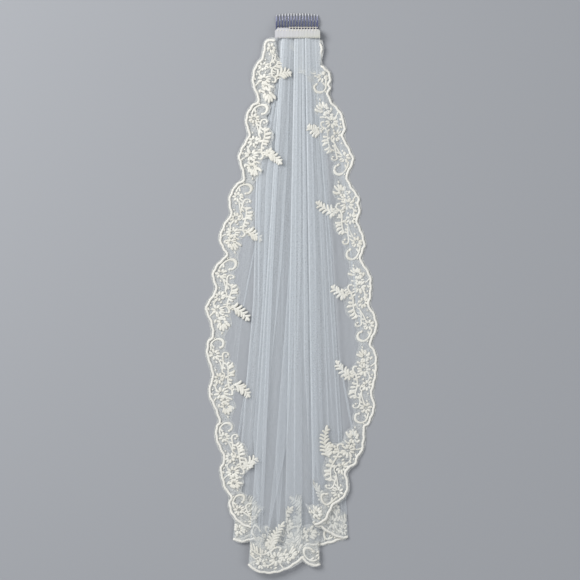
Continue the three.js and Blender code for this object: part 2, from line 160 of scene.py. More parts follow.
def joined(*parts):
    """Several sets of points, quads and end caps as one set."""
    points, quads, ends, start = [], [], [], 0
    for p, q, e in parts:
        points.append(p)
        quads.append(q + start)
        ends += [cap + start for cap in e]
        start += len(p)
    return np.concatenate(points), np.concatenate(quads), ends


def rounded_off(way, begins, reach, least):
    """A share of the full size: 1 until way passes begins, then a quarter circle over the reach, never
    under the square root of least."""
    return np.sqrt(np.clip(1 - (np.clip(way - begins, 0, 1) / reach) ** 2, least, 1))


def comb_shape():
    """Teeth: y runs out along the tooth, z = BOW sin(pi f) and the width falls with f cubed to the tip.
    The spine is one bar across them. Tips and spine ends are rounded off."""
    f = np.linspace(0, 1, 18)
    place = np.linspace(-1, 1, TEETH)
    x = place * (COMB_WIDTH - END_TOOTH_WIDTH) / 2
    length = TOOTH_LENGTH - TIP_ARCH * place**2
    y = SPINE_HIGH / 2 - ROOT_SUNK + f * (length[:, None] + ROOT_SUNK)
    z = BOW * np.sin(np.pi * f) + ROOT_LIFT * (1 - f) + TOOTH_THICK / 2
    wide = np.full((TEETH, 1), TOOTH_WIDTH)
    wide[[0, -1]] = END_TOOTH_WIDTH
    rounding = rounded_off(f, *TIP_ROUND, 0.02)
    side = (wide + (TIP_WIDTH - wide) * f**3) / 2 * rounding
    up = np.broadcast_to(TOOTH_THICK / 2 * rounding, side.shape)
    paths = np.stack([np.broadcast_to(x[:, None], y.shape), y, np.broadcast_to(z, y.shape)], -1)
    teeth = round_bars(paths, side, up, ring=10, power=0.8)
    t = np.array([0, 0.004, 0.012, *np.linspace(0.03, 0.97, 30), 0.988, 0.996, 1])
    spine_path = np.stack([(t - 0.5) * COMB_WIDTH, 0 * t, 0 * t + SPINE_THICK / 2], -1)[None]
    end = rounded_off(np.abs(t - 0.5), *SPINE_ROUND, 0.1)[None]
    spine = round_bars(spine_path, SPINE_HIGH / 2 * end, SPINE_THICK / 2 * end, ring=16, power=0.6)
    return joined(teeth, spine)


# Crystal polystyrene: clear with a polished mould's gloss, and faint flow waves of about 3 mm. Its colour
# along
# the teeth is painted light and shade: blue-lilac darkened towards the spine as painted shade, a lighter
# band as a painted reflection and white at the tips as a painted highlight.
clear_plastic, tree, shader = new_finish(
    "clear_moulded_polystyrene", Roughness=0.2, IOR=1.59, Transmission_Weight=0.35
)
spot = add_node(tree, "TexCoord").outputs["Object"]
out_along = add_node(tree, "SeparateXYZ", links={"Vector": spot}).outputs["Y"]
place = add_node(tree, "MapRange", {"From Min": 0.004, "From Max": 0.031}, {"Value": out_along})
# Painted light and shade along the teeth: dark blue-lilac by the spine is painted shade, the lighter band a
# painted reflection, the white tips a painted highlight.
painted_light_ramp = add_node(tree, "ValToRGB", links={"Fac": place.outputs["Result"]})
painted_light_ramp.color_ramp.elements[0].position, painted_light_ramp.color_ramp.elements[0].color = 0.44, linear("#6a7096")
painted_light_ramp.color_ramp.elements[1].position, painted_light_ramp.color_ramp.elements[1].color = 0.84, linear("#ffffff")
for share, colour in ((0.58, "#a9accb"), (0.76, "#c4c6da")):
    painted_light_ramp.color_ramp.elements.new(share).color = linear(colour)
tree.links.new(painted_light_ramp.outputs["Color"], shader.inputs["Base Color"])
flow = add_node(tree, "TexNoise", {"Scale": 330.0, "Detail": 2.0}, {"Vector": spot})
bump = add_node(tree, "Bump", {"Strength": 0.12, "Distance": 0.0004}, {"Height": flow.outputs["Fac"]})
tree.links.new(bump.outputs["Normal"], shader.inputs["Normal"])

points, quads, ends = comb_shape()
comb = make_piece("hair_comb", points, quads, clear_plastic, ends=ends, outward=True)
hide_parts("comb")


# The heading band is a strip of ivory binding folded over the gathered top of the tulle. It is machine
# sewn along its lower edge and puckers a little with the gathers inside it.

BAND_LEFT = -38.6
BAND_RIGHT = 40.4
BAND_LOW = -14.9
BAND_NOSE = 1.2
BAND_FLOOR = 3.8
BAND_TOP = 13.4
CORNER_CUT = 4.0
GATHER_EVERY = 5.1
GATHER_SLOW = 8.3
PUCKER = 0.07
NOSE_REACH = 2.4
WRAP_REACH = 2.3
WRAP_END = -15.0
WRAP_STEP = 1.5
CUT_FROM, CUT_OVER = -2.2, 3.4
EDGE_DROP, DROP_FROM, DROP_OVER = 1.5, 0.72, 0.28
EDGE_WAVER = 0.15
RIBBON_THICK = 0.8
BAND_COLUMNS, BAND_ROWS = 150, 44


def band_shape():
    """A U on its side: flat top, half-round nose towards the teeth, flat underside, with the nose in the
    middle fifth of the way round. The top puckers by two sine waves across the band and drops at its lower
    edge with the square of the way there. At the left end the nose reaches over the comb's spine, by a
    smooth step across the band."""
    x = np.linspace(0, 1, BAND_COLUMNS)[:, None]
    t = np.linspace(0, 1, BAND_ROWS)[None]
    middle, half = (BAND_TOP + BAND_FLOOR) / 2, (BAND_TOP - BAND_FLOOR) / 2
    from_wrap = BAND_LEFT + (BAND_RIGHT - BAND_LEFT) * x - WRAP_END
    reach = NOSE_REACH + WRAP_REACH / (1 + np.exp(from_wrap / WRAP_STEP))
    root = BAND_NOSE - NOSE_REACH
    angle = np.clip((t - 0.4) / 0.2, 0, 1) * np.pi - np.pi / 2
    flat = np.clip(np.abs(t - 0.5) - 0.1, 0, 1) / 0.4
    y = root + reach * np.cos(angle) - flat * (root - BAND_LOW)
    z = middle - half * np.sin(angle)
    cut = CORNER_CUT * np.clip((y - CUT_FROM) / CUT_OVER, 0, 1)
    place = BAND_LEFT + cut + (BAND_RIGHT - BAND_LEFT - 2 * cut) * x
    top = np.clip((0.55 - t) / 0.1, 0, 1)
    pucker = np.sin(place * 2 * np.pi / GATHER_EVERY) + 0.7 * np.sin(place * 2 * np.pi / GATHER_SLOW + 1.1)
    dropped = EDGE_DROP * np.clip((flat - DROP_FROM) / DROP_OVER, 0, 1) ** 2
    z = z + top * (PUCKER * pucker - dropped)
    y = y + EDGE_WAVER * np.sin(place * 0.9) * (flat > 0.9)
    return np.stack([place, y, z], -1), grid_quads(BAND_COLUMNS, BAND_ROWS)


# Polyester binding ribbon: matt, woven at about ten threads a millimetre, drawn at one in two millimetres
# so that it shows. The dye is a little uneven.
ribbon, tree, shader = new_finish(
    "woven_binding_ribbon", Roughness=0.78, Sheen_Weight=0.25, Sheen_Roughness=0.5
)
spot = add_node(tree, "TexCoord").outputs["Object"]
warp = add_node(tree, "TexWave", {"Scale": 160.0, "Distortion": 0.4}, {"Vector": spot}, bands_direction="X")
weft = add_node(tree, "TexWave", {"Scale": 160.0, "Distortion": 0.4}, {"Vector": spot}, bands_direction="Y")
weave = add_node(tree, "Math", links={0: warp.outputs["Fac"], 1: weft.outputs["Fac"]}, operation="MULTIPLY")
bump = add_node(tree, "Bump", {"Strength": 0.35, "Distance": 0.0003}, {"Height": weave.outputs[0]})
tree.links.new(bump.outputs["Normal"], shader.inputs["Normal"])
dye = add_node(tree, "TexNoise", {"Scale": 26.0, "Detail": 2.0}, {"Vector": spot})
tone = add_node(tree, "ValToRGB", links={"Fac": dye.outputs["Fac"]})
for stop, share, colour in zip(tone.color_ramp.elements, (0.35, 0.65), ("#cfced2", "#cfcfc4")):
    stop.position, stop.color = share, linear(colour)
tree.links.new(tone.outputs["Color"], shader.inputs["Base Color"])

points, quads = band_shape()
band = make_piece("heading_ribbon", points, quads, ribbon)
wall = band.modifiers.new("cloth_wall", "SOLIDIFY")
wall.thickness, wall.offset = RIBBON_THICK / 1000, 0.0
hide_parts("heading_band")


# Whip stitches hold the band to the comb: one loop of doubled thread in each gap between two teeth,
# over the spine's edge, with a locking thread drawn along them. Small running stitches close the band.

WHIP_THREAD = 1.0
RUNNING_THREAD = 0.6
LOCKING_THREAD = 1.4
TWIN_APART = 0.75
TOOTH_PITCH = (COMB_WIDTH - END_TOOTH_WIDTH) / (TEETH - 1)
DASHES = 24
DASH_LENGTH = 2.1
DASH_IN = 1.4
DASH_HIGH, DASH_DIP = 0.7, 0.35
LOCKING_Y, LOCKING_Z = 5.0, 4.4
LOCKING_WAVE = 0.35

# One whip stitch, from the band's top over the spine's edge and down, measured from its gap's middle.
WHIP_LOOP = np.array([
    (-0.9, -2.4, 14.0), (-0.7, -0.4, 13.7), (-0.4, 2.3, 10.6), (-0.1, 4.3, 6.2), (0.1, 5.2, 3.2),
    (0.1, 4.4, 0.8),
], float)


def thread_bars(paths, thick):
    """Round bars of one thickness along paths (m, p, 3)."""
    size = np.full(paths.shape[:2], thick / 2)
    return round_bars(paths, size, size, ring=6)


def stitch_shape():
    """Each whip stitch is two threads side by side along the loop's points, joined by straight lines and
    smoothed once. The locking thread waves as a cosine from gap to gap. A running stitch is a shallow
    parabola on the band."""
    gap = (np.arange(TEETH - 1) - (TEETH - 2) / 2) * TOOTH_PITCH
    f = np.linspace(0, 5, 16)
    smooth = np.stack([np.interp(f, np.arange(6), WHIP_LOOP[:, d]) for d in range(3)], -1)
    smooth[1:-1] = (smooth[:-2] + 2 * smooth[1:-1] + smooth[2:]) / 4
    places = np.concatenate([gap, gap + TWIN_APART])
    whip = smooth + places[:, None, None] * np.array([1.0, 0.0, 0.0])
    dash = np.linspace(BAND_LEFT + 5, BAND_RIGHT - 5, DASHES)[:, None]
    t = np.linspace(-1, 1, 5)
    high = BAND_TOP + DASH_HIGH - DASH_DIP * t**2 + 0 * dash
    running = np.stack([dash + DASH_LENGTH / 2 * t, 0 * high + BAND_LOW + DASH_IN, high], -1)
    x = np.linspace(WRAP_END, BAND_RIGHT - 4, 90)
    wave = np.cos(2 * np.pi * (x - gap[0]) / TOOTH_PITCH)
    locking = np.stack([x, LOCKING_Y + LOCKING_WAVE * wave, LOCKING_Z + 0 * x], -1)[None]
    kinds = (whip, WHIP_THREAD), (running, RUNNING_THREAD), (locking, LOCKING_THREAD)
    return joined(*(thread_bars(paths, thick) for paths, thick in kinds))


# Polyester sewing thread, two-ply, ivory with a slight gloss. Its twist is drawn at about 2 mm.
thread, tree, shader = new_finish(
    "ivory_sewing_thread", Base_Color=linear("#ebe7dc"), Roughness=0.5, Sheen_Weight=0.3
)
spot = add_node(tree, "TexCoord").outputs["Object"]
ply = add_node(tree, "TexWave", {"Scale": 260.0}, {"Vector": spot}, bands_direction="DIAGONAL")
bump = add_node(tree, "Bump", {"Strength": 0.4, "Distance": 0.0002}, {"Height": ply.outputs["Fac"]})
tree.links.new(bump.outputs["Normal"], shader.inputs["Normal"])

points, quads, ends = stitch_shape()
make_piece("whip_stitches", points, quads, thread, ends=ends, outward=True)


# The tulle is one oval sheet of fine nylon net. It is folded in knife pleats that fan out from the band,
# with narrow gathers between them that die out before the hem, and its sides lie flat in one layer.

# The pleats fan out from one point beyond the comb, between two angles. A place's turn is its angle on
# the unfolded sheet, and lengths along the hem are turns at one distance from the point.
FAN_X, FAN_Y = 6.3, 492.6
FAN_LEFT, FAN_RIGHT = -0.085, 0.060
FAN_SPAN = FAN_RIGHT - FAN_LEFT
HEM_RADIUS = 1400.0

# Each row is a fold: how far across the fan it lies, and the hem's distance from the fan's point.
FOLDS = np.array([
    (0.20, 1364), (0.00, 1378), (0.60, 1396), (0.15, 1419), (0.75, 1412), (0.45, 1398), (1.00, 1382),
    (0.70, 1354),
], float)
FOLD_ACROSS, FOLD_HEM = FOLDS.T
TOP_LAYER = len(FOLDS)
FOLD_TURN = np.concatenate([[0], np.cumsum(np.abs(np.diff(FOLD_ACROSS)) * FAN_SPAN)])
# The turns where the hem begins and ends, a little outside its first and its last fold.
HEM_FIRST, HEM_LAST = -0.008, FOLD_TURN[-1] + 0.0016

# Each row is a faint slanting crease of a side panel: its layer, where it lies across the fan at its two
# ends, its width, and the distances from the fan's point of its two ends.
PANEL_CREASES = [
    (0, -0.02, -0.13, 0.022, 850, 1010), (0, 0.09, -0.06, 0.028, 960, 1290),
    (8, 0.92, 1.02, 0.030, 560, 900), (8, 1.02, 1.16, 0.022, 1050, 1250),
    (8, 1.27, 1.31, 0.022, 830, 1050),
]

# Each row is a gather: the layer it is in, its share of the way along the layer 700 mm from the fan's
# point and at the hem, its width across the fan, and the distance at which it has died out.
GATHERS = [
    (1, 0.50, 0.50, 0.030, 1150),
    (2, 0.12, 0.12, 0.040, 1000),
    (2, 0.375, 0.375, 0.120, 1370),
    (2, 0.60, 0.62, 0.040, 1050),
    (2, 0.80, 0.80, 0.030, 1200),
    (3, 0.22, 0.70, 0.100, 1385),
    (3, 0.62, 0.88, 0.035, 1080),
    (4, 0.12, 0.167, 0.040, 1390),
    (4, 0.70, 0.39, 0.085, 1395),
    (4, 0.86, 0.80, 0.040, 1150),
    (5, 0.20, 0.20, 0.050, 1350),
    (5, 0.68, 0.68, 0.035, 1080),
    (6, 0.145, 0.145, 0.012, 1395),
    (6, 0.40, 0.38, 0.050, 1230),
    (6, 0.67, 0.67, 0.120, 1370),
    (6, 0.86, 0.86, 0.040, 1180),
    (7, 0.143, 0.143, 0.012, 1360),
    (7, 0.48, 0.48, 0.012, 1340),
    (7, 0.80, 0.75, 0.030, 1100),
]

# The lace edge of each side from the band down, at its notches and scallops.
LEFT_EDGE = np.array([
    (-38, -17), (-51, -17.5), (-55.5, -21), (-58, -34), (-61, -48), (-72, -62), (-77, -78), (-77, -95),
    (-72, -109), (-68, -123), (-79, -132), (-88, -148), (-89, -165), (-84, -181), (-89, -193),
    (-98, -209), (-102, -223), (-98, -237), (-94, -260), (-107, -270), (-117, -288), (-119, -302),
    (-116, -323), (-124, -333), (-133, -353), (-135, -367), (-130, -381), (-124, -393), (-140, -410),
    (-148, -428), (-143, -447), (-144, -458), (-158, -480), (-159, -491), (-155, -501), (-150, -514),
    (-148, -535), (-155, -542), (-158, -559), (-157, -570), (-148, -602), (-153, -624), (-153, -640),
    (-143, -662), (-136, -685), (-141, -692), (-142, -710), (-138, -724), (-128, -748), (-134, -766),
    (-132, -781), (-126, -802), (-116, -815), (-119, -827), (-116, -841), (-108, -853), (-97, -863),
    (-81, -870),
], float)
RIGHT_EDGE = np.array([
    (40, -17), (44, -34), (40, -59), (48, -65), (57, -75), (59, -87), (56, -94), (59, -100), (55, -108),
    (56, -115), (62, -127), (72, -137), (80, -150), (82, -162), (85, -171), (81, -181), (82, -190),
    (88, -200), (98, -221), (99, -228), (94, -241), (88, -255), (94, -271), (103, -284), (109, -294),
    (108, -304), (111, -318), (107, -325), (106, -335), (111, -347), (116, -360), (119, -377),
    (116, -384), (112, -400), (120, -414), (127, -426), (130, -438), (129, -465), (126, -482),
    (134, -493), (140, -515), (137, -528), (129, -547), (135, -559), (139, -571), (138, -603),
    (131, -636), (135, -648), (135, -664), (125, -689), (118, -694), (118, -710), (114, -736),
    (106, -745), (103, -757), (86, -771), (89, -791), (87, -808), (77, -821), (66, -827), (59, -837),
    (49, -856), (31, -865),
], float)


def smooth_path(points, step):
    """A curve through the points, evenly stepped: each span is the cubic whose end directions are half the
    way from the point before to the point after."""
    padded = np.concatenate([2 * points[:1] - points[1:2], points, 2 * points[-1:] - points[-2:-1]])
    direction = (padded[2:] - padded[:-2]) / 2
    t = np.linspace(0, 1, 24, endpoint=False)[None, :, None]
    p0, p1 = points[:-1, None], points[1:, None]
    m0, m1 = direction[:-1, None], direction[1:, None]
    curve = (2 * t**3 - 3 * t**2 + 1) * p0 + (3 * t**2 - 2 * t**3) * p1
    curve = curve + (t**3 - 2 * t**2 + t) * m0 + (t**3 - t**2) * m1
    curve = np.concatenate([curve.reshape(-1, points.shape[1]), points[-1:]])
    run = np.concatenate([[0], np.cumsum(np.linalg.norm(np.diff(curve, axis=0), axis=1))])
    even = np.linspace(0, run[-1], max(2, round(run[-1] / step)))
    return np.stack([np.interp(even, run, curve[:, d]) for d in range(points.shape[1])], -1)


def fan_polar(x, y):
    """Distance from the fan's point and how far across the fan a place lies."""
    radius = np.hypot(x - FAN_X, FAN_Y - y)
    return radius, (np.arctan2(x - FAN_X, FAN_Y - y) - FAN_LEFT) / FAN_SPAN


def fan_place(radius, across):
    """x and y of a place: radius times the sine and the cosine of its angle, from the fan's point."""
    angle = FAN_LEFT + across * FAN_SPAN
    return FAN_X + radius * np.sin(angle), FAN_Y - radius * np.cos(angle)


def eased(value, start, stop):
    """A smooth step from 0 at start to 1 at stop: 3t^2 - 2t^3."""
    t = np.clip((value - start) / (stop - start), 0, 1)
    return t * t * (3 - 2 * t)


# Near the hem the middle lobe, layers 3 and 4, is drawn out over the two that lie on it further up.
SHUFFLE = np.array([0, 0, 0, 2, 2, -2, -2, 0, 0])
SHUFFLE_AT = 1290, 1350
PRESSED_PITCH = 1.36
AIRY_PITCH = 2.36
SPINE_LIFT = 4.8
NET_LIFT = 0.5
BAND_END = 509
BAND_EASE = 91
COVER_MARGIN, COVER_EASE = 0.05, 0.2


def layer_height(layer, across, radius):
    """Height of a layer: each layer below that reaches the place adds one pitch, which grows from the
    pressed band to the airy skirt, and the band itself lifts the cloth over the comb's spine. Near the hem
    a layer moves up or down by its shuffle, in an eased step."""
    starts = np.concatenate([[-1], FOLD_ACROSS])
    stops = np.concatenate([FOLD_ACROSS, [2]])
    total = np.zeros(np.broadcast(layer, across, radius).shape)
    for below in range(TOP_LAYER):
        low, high = sorted((starts[below], stops[below]))
        beyond = np.maximum(low - across, across - high) - COVER_MARGIN
        total = total + np.where(layer > below, 1 - np.clip(beyond / COVER_EASE, 0, 1), 0)
    grown = np.clip((radius - BAND_END) / BAND_EASE, 0, 1)
    moved = SHUFFLE[np.clip(np.asarray(layer, int), 0, TOP_LAYER)] * eased(radius, *SHUFFLE_AT)
    pitch = PRESSED_PITCH + (AIRY_PITCH - PRESSED_PITCH) * grown
    return np.maximum(total + moved, 0) * pitch + SPINE_LIFT * (1 - grown) + NET_LIFT


# Each row is a notch between two scallops of the hem: its angle along the unfolded hem from the first
# fold, and the depth of the scallop that follows it.
HEM_SCALLOPS = np.array([
    (-0.052, 8), (-0.008, 14), (0.055, 18), (0.116, 20), (0.168, 25), (0.2462, 19), (0.2903, 8),
    (0.340, 4), (0.3828, 6), (0.426, 5), (0.438, 5),
], float)
HEM_NOTCHES, HEM_DEPTHS = HEM_SCALLOPS.T
SCALLOP_ROUND = 0.8
SCALLOP_MEAN = 0.6
CORNER_PULL, CORNER_REACH = 4.0, 7.0
FOLD_EASE = 2.5


def hem_radius(turn, follow=1.0):
    """The hem's distance from the fan's point: a straight line between folds plus half a sine over each
    scallop, to the power SCALLOP_ROUND, less a bell curve at each fold's corner. follow is how much of a
    scallop a line further in keeps."""
    line = np.interp(turn, FOLD_TURN, FOLD_HEM)
    lobe = np.clip(np.searchsorted(HEM_NOTCHES, turn, side="right") - 1, 0, len(HEM_NOTCHES) - 2)
    share = (turn - HEM_NOTCHES[lobe]) / (HEM_NOTCHES[lobe + 1] - HEM_NOTCHES[lobe])
    wave = np.clip(np.sin(np.pi * share), 0, 1) ** SCALLOP_ROUND
    out = HEM_DEPTHS[lobe] * (follow * wave + (1 - follow) * SCALLOP_MEAN)
    corner = np.min(np.abs(np.asarray(turn)[..., None] - FOLD_TURN), axis=-1) * HEM_RADIUS / CORNER_REACH
    return line + out - CORNER_PULL * np.exp(-(corner**2))


def folded_place(turn, radius):
    """Where a place of the unfolded sheet lies once the pleats are folded: straight lines from fold to
    fold, and from layer to layer an eased step FOLD_EASE wide. Gives x, y, z and which face is up."""
    inside = np.interp(turn, FOLD_TURN, FOLD_ACROSS)
    across = np.where(turn < 0, FOLD_ACROSS[0] + turn / FAN_SPAN, inside)
    across = np.where(turn > FOLD_TURN[-1], FOLD_ACROSS[-1] + (turn - FOLD_TURN[-1]) / FAN_SPAN, across)
    nearest = np.searchsorted((FOLD_TURN[1:] + FOLD_TURN[:-1]) / 2, turn)
    ease = eased((turn - FOLD_TURN[nearest]) * radius, -FOLD_EASE / 2, FOLD_EASE / 2)
    before, after = (layer_height(layer, across, radius) for layer in (nearest, nearest + 1))
    z = (1 - ease) * before + ease * after
    facing = np.where((nearest + (ease > 0.5)) % 2 == 0, 1.0, -1.0)
    x, y = fan_place(radius, across)
    return x, y, z, facing


def edge_across(edge):
    """A side's lace edge as distances from the fan's point, always growing, and places across the fan."""
    fine = smooth_path(edge, step=2.0)
    radius, across = fan_polar(fine[:, 0], fine[:, 1])
    return np.maximum.accumulate(radius), across


left_rim, right_rim = edge_across(LEFT_EDGE), edge_across(RIGHT_EDGE)


# The leftmost fold swings out and back: its distances from the fan's point and its places across.
LEFT_FOLD = (
    (500, 540, 587, 613, 640, 700, 752, 877, 965),
    (0.13, 0.126, 0.08, 0.04, 0.0, -0.07, -0.12, -0.04, 0.0),
)


def fold_line(number, radius):
    """A fold's place across the fan: the same all the way down, but for the leftmost one."""
    return np.interp(radius, *LEFT_FOLD) if number == 1 else FOLD_ACROSS[number] + 0 * radius


# How the gathers run down the fan: where their shares are read from, how they fade and how they drift.
GATHER_HEAD = 700
GATHER_FADE = 170
GATHER_DRIFT = 0.010
DRIFT_WAVE = 210
DRIFT_DIES, DRIFT_FADE = 1340, 200
PINCHED = 0.0008
RIM_MARGIN = 0.03


def tulle_stops():
    """The places where the sheet turns, in order from the left edge to the right one. Each has its layer,
    its share of the unfolded hem, its ply, and a function of the radius for its place across the fan."""
    stops = []
    turns = [HEM_FIRST, *FOLD_TURN, HEM_LAST]

    def add_stop(layer, turn, ply, at, fold=False):
        """One more place where the sheet turns. fold says that a new layer begins there."""
        stops.append({"layer": layer, "turn": turn, "ply": ply, "at": at, "fold": fold})

    def add_pair(layer, share, place):
        """The two bends of a gather or crease: the cloth runs on to the first and back to the second."""
        turn = turns[layer] + (turns[layer + 1] - turns[layer]) * share
        add_stop(layer, turn, 0.5, lambda r: place(r, 0.0))
        add_stop(layer, turn, 1.5, lambda r: place(r, 1.0))

    for layer in range(TOP_LAYER + 1):

        def start(r, layer=layer):
            """Where the layer begins across the fan: at the sheet's left edge, or at the fold before it."""
            return np.interp(r, *left_rim) if layer == 0 else fold_line(layer - 1, r)

        def end(r, layer=layer):
            """Where it ends: at the sheet's right edge, or at the fold after it."""
            return np.interp(r, *right_rim) if layer == TOP_LAYER else fold_line(layer, r)

        add_stop(layer, turns[layer], 0.0, start, layer > 0)
        for _, high, low, width, dies in [g for g in GATHERS if g[0] == layer]:

            def gather(r, back, high=high, low=low, width=width, dies=dies, start=start, end=end):
                """A share of the way along the layer, with a slow sine drift. The size fades to its end."""
                a, b = start(r), end(r)
                size = width * np.clip((dies - r) / GATHER_FADE, 0, 1) + PINCHED
                drift = GATHER_DRIFT * np.sin(r / DRIFT_WAVE + 7 * high)
                drift = drift * np.clip((DRIFT_DIES - r) / DRIFT_FADE, 0, 1)
                share = np.interp(r, (GATHER_HEAD, HEM_RADIUS), (high, low))
                return a + (b - a) * share + drift - np.sign(b - a) * size * back

            add_pair(layer, low, gather)
        creases = [c for c in PANEL_CREASES if c[0] == layer]
        for number, (_, *ends, width, begins, dies) in enumerate(creases, start=1):

            def slant(r, back, ends=ends, width=width, span=(begins, dies), start=start, end=end):
                """A straight line across the fan inside both rims. The size is half a sine to the 0.7."""
                along = np.clip((r - span[0]) / (span[1] - span[0]), 0, 1)
                size = width * np.sin(np.pi * along) ** 0.7 + PINCHED
                place = np.clip(np.interp(r, span, ends), start(r) + RIM_MARGIN, end(r) - RIM_MARGIN)
                return place - size * back

            add_pair(layer, number / (len(creases) + 1), slant)
    add_stop(TOP_LAYER, HEM_LAST, 0.0, lambda r: np.interp(r, *right_rim))
    return stops


TULLE_ROWS = 112
HEAD_ROWS = np.array([494, 501, 509, 520, 535, 555, 578])
BODY_FROM = 600
SHORT_OF_HEM = 1.0
COLUMN_EVERY = 0.014
FOLD_SWELL = 0.8
FOLD_GAP = 0.6
PLY_HIGH = 0.75
PLY_HIGH_IN_BAND = 0.35
RIPPLE_HIGH = 0.35
RIPPLE_EVERY = 11.0
RIPPLE_FINE = 4.7
RIPPLE_DIES, RIPPLE_FADE = 1360, 160
OPEN_FROM, OPEN_OVER = 520, 120
LOWEST_NET = 0.15

# A crease's mark: the distance over which it falls off, the distance that stands for no bend nearby, and
# the width of a gather under which it is weaker.
CREASE_WIDE = 1.2
NO_BEND = 99
FADES_UNDER = 4


def tulle_shape():
    """Columns run from stop to stop and rows down the fan. x and y come from the radius and the place
    across, z from the layer's height, the ply and a fine ripple along the cloth, the sum of two sines. The
    crease mark falls off by an exponential from each bend. Gives points, quads, UV, creases and fan."""
    rest = np.linspace(0, 1, TULLE_ROWS - len(HEAD_ROWS))
    probe = np.linspace(500, 1360, 12)
    columns = {key: [] for key in ("radius", "across", "layer", "ease", "ply", "crease", "cloth")}
    run = np.zeros(TULLE_ROWS)
    stops = tulle_stops()

    def add(radius, across, layer, ease, ply, crease, gap):
        """One more column down the sheet, a gap further along the cloth."""
        nonlocal run
        run = run + gap
        for key, value in zip(columns, (radius, across, layer, ease, ply, crease, run)):
            columns[key].append(np.broadcast_to(value, (TULLE_ROWS,)))

    def rows_at(turn):
        """A column's radii: those of the head, and even steps from there to just short of the hem."""
        body = BODY_FROM + rest * (hem_radius(np.array(turn)) - SHORT_OF_HEM - BODY_FROM)
        return np.concatenate([HEAD_ROWS, body])

    for a, b in zip(stops[:-1], stops[1:]):
        if a["fold"]:
            radius = rows_at(a["turn"])
            way = 1.0 if a["layer"] % 2 else -1.0
            for ease in (0.2, 0.5, 0.8):
                swell = way * FOLD_SWELL * math.sin(math.pi * ease) / radius / FAN_SPAN
                add(radius, a["at"](radius) + swell, a["layer"] - 1, ease, 0, 1.0, FOLD_GAP)
        widest = np.max(np.abs(b["at"](probe) - a["at"](probe)))
        steps = max(3, int(widest / COLUMN_EVERY))
        narrow = a["turn"] == b["turn"]
        ply_a = 2.0 if a["ply"] == 1.5 else a["ply"]
        for f in np.arange(0, steps) / steps:
            radius = rows_at(a["turn"] + (b["turn"] - a["turn"]) * f)
            at_a, at_b = a["at"](radius), b["at"](radius)
            wide = np.abs(at_b - at_a) * FAN_SPAN * radius
            from_a = f * wide if a["ply"] or a["fold"] else NO_BEND
            from_b = (1 - f) * wide if b["ply"] or b["fold"] else NO_BEND
            near = np.exp(-np.minimum(from_a, from_b) / CREASE_WIDE)
            size = np.clip(wide, 0, FADES_UNDER) / FADES_UNDER if narrow else 1.0
            ply = ply_a + (b["ply"] - ply_a) * f
            add(radius, at_a + (at_b - at_a) * f, a["layer"], 0.0, ply, near * size, wide / steps)
    radius = rows_at(HEM_LAST)
    add(radius, stops[-1]["at"](radius), TOP_LAYER, 0.0, 0, 0.0, 0.0)
    radius, across, layer, ease, ply, crease, cloth = (np.array(columns[key]) for key in columns)
    z = (1 - ease) * layer_height(layer, across, radius) + ease * layer_height(layer + 1, across, radius)
    open_air = np.clip((radius - OPEN_FROM) / OPEN_OVER, 0, 1)
    phase = 1.7 * layer + 0.6 * np.sin(radius / 170 + layer)
    ripple = np.sin(cloth / RIPPLE_EVERY * 2 * np.pi + phase)
    ripple = ripple + 0.6 * np.sin(cloth / RIPPLE_FINE * 2 * np.pi - phase)
    ripple = RIPPLE_HIGH * ripple * (1 - crease)
    ripple = ripple * np.clip((RIPPLE_DIES - radius) / RIPPLE_FADE, 0.15, 1)
    z = z + open_air * (PLY_HIGH * ply + ripple) + (1 - open_air) * PLY_HIGH_IN_BAND * ply
    x, y = fan_place(radius, across)
    points = np.stack([x, y, np.maximum(z, LOWEST_NET)], -1)
    cloth = cloth - cloth[np.argmax(layer[:, 0] > 0)]
    uv = np.stack([cloth, radius], -1) / 1000
    fan = np.stack([across * FAN_SPAN + 0.7 * layer + 0.013 * ply, radius / 1000, 0 * radius], -1)
    return points, grid_quads(len(points), TULLE_ROWS), uv, crease, fan


def net_cover(tree, factors):
    """How much of a net is thread: a product. Each row is one factor of it: what it follows, from which
    value to which, and the cover there."""
    cover = None
    for source, low, high, cover_low, cover_high in factors:
        reach = {"From Min": low, "From Max": high, "To Min": cover_low, "To Max": cover_high}
        factor = add_node(tree, "MapRange", reach, {"Value": source}).outputs["Result"]
        if cover is None:
            cover = factor
        else:
            links = {0: cover, 1: factor}
            cover = add_node(tree, "Math", links=links, operation="MULTIPLY").outputs[0]
    return cover


# Nylon bobbinet tulle: a soft matt net of fine white thread, mostly open. Its holes are about 1 mm and are
# drawn at 4 mm. The threads crowd together towards the band, and a crease shows as a denser line. Fine
# gathers too small to model run down the fan as soft streaks, about 6 mm and 25 mm wide near the hem.
tulle_net, tree, shader = new_finish(
    "nylon_bobbinet_tulle",
    Base_Color=linear("#e3e8ec"), Roughness=0.85, Sheen_Weight=0.4, Specular_IOR_Level=0.2,
)
sheet = add_node(tree, "UVMap", uv_map="cloth").outputs["UV"]
down_sheet = add_node(tree, "SeparateXYZ", links={"Vector": sheet}).outputs["Y"]
holes = add_node(tree, "TexVoronoi", {"Scale": 250.0}, {"Vector": sheet}, feature="DISTANCE_TO_EDGE")
fan = add_node(tree, "Attribute", attribute_name="fan").outputs["Vector"]
drawn_out = add_node(tree, "Mapping", {"Scale": (1.0, 0.010, 1.0)}, {"Vector": fan}).outputs["Vector"]
fine = add_node(tree, "TexNoise", {"Scale": 210.0, "Detail": 2.0}, {"Vector": drawn_out})
broad = add_node(tree, "TexNoise", {"Scale": 48.0, "Detail": 1.0}, {"Vector": drawn_out})
crease_mark = add_node(tree, "Attribute", attribute_name="crease").outputs["Fac"]

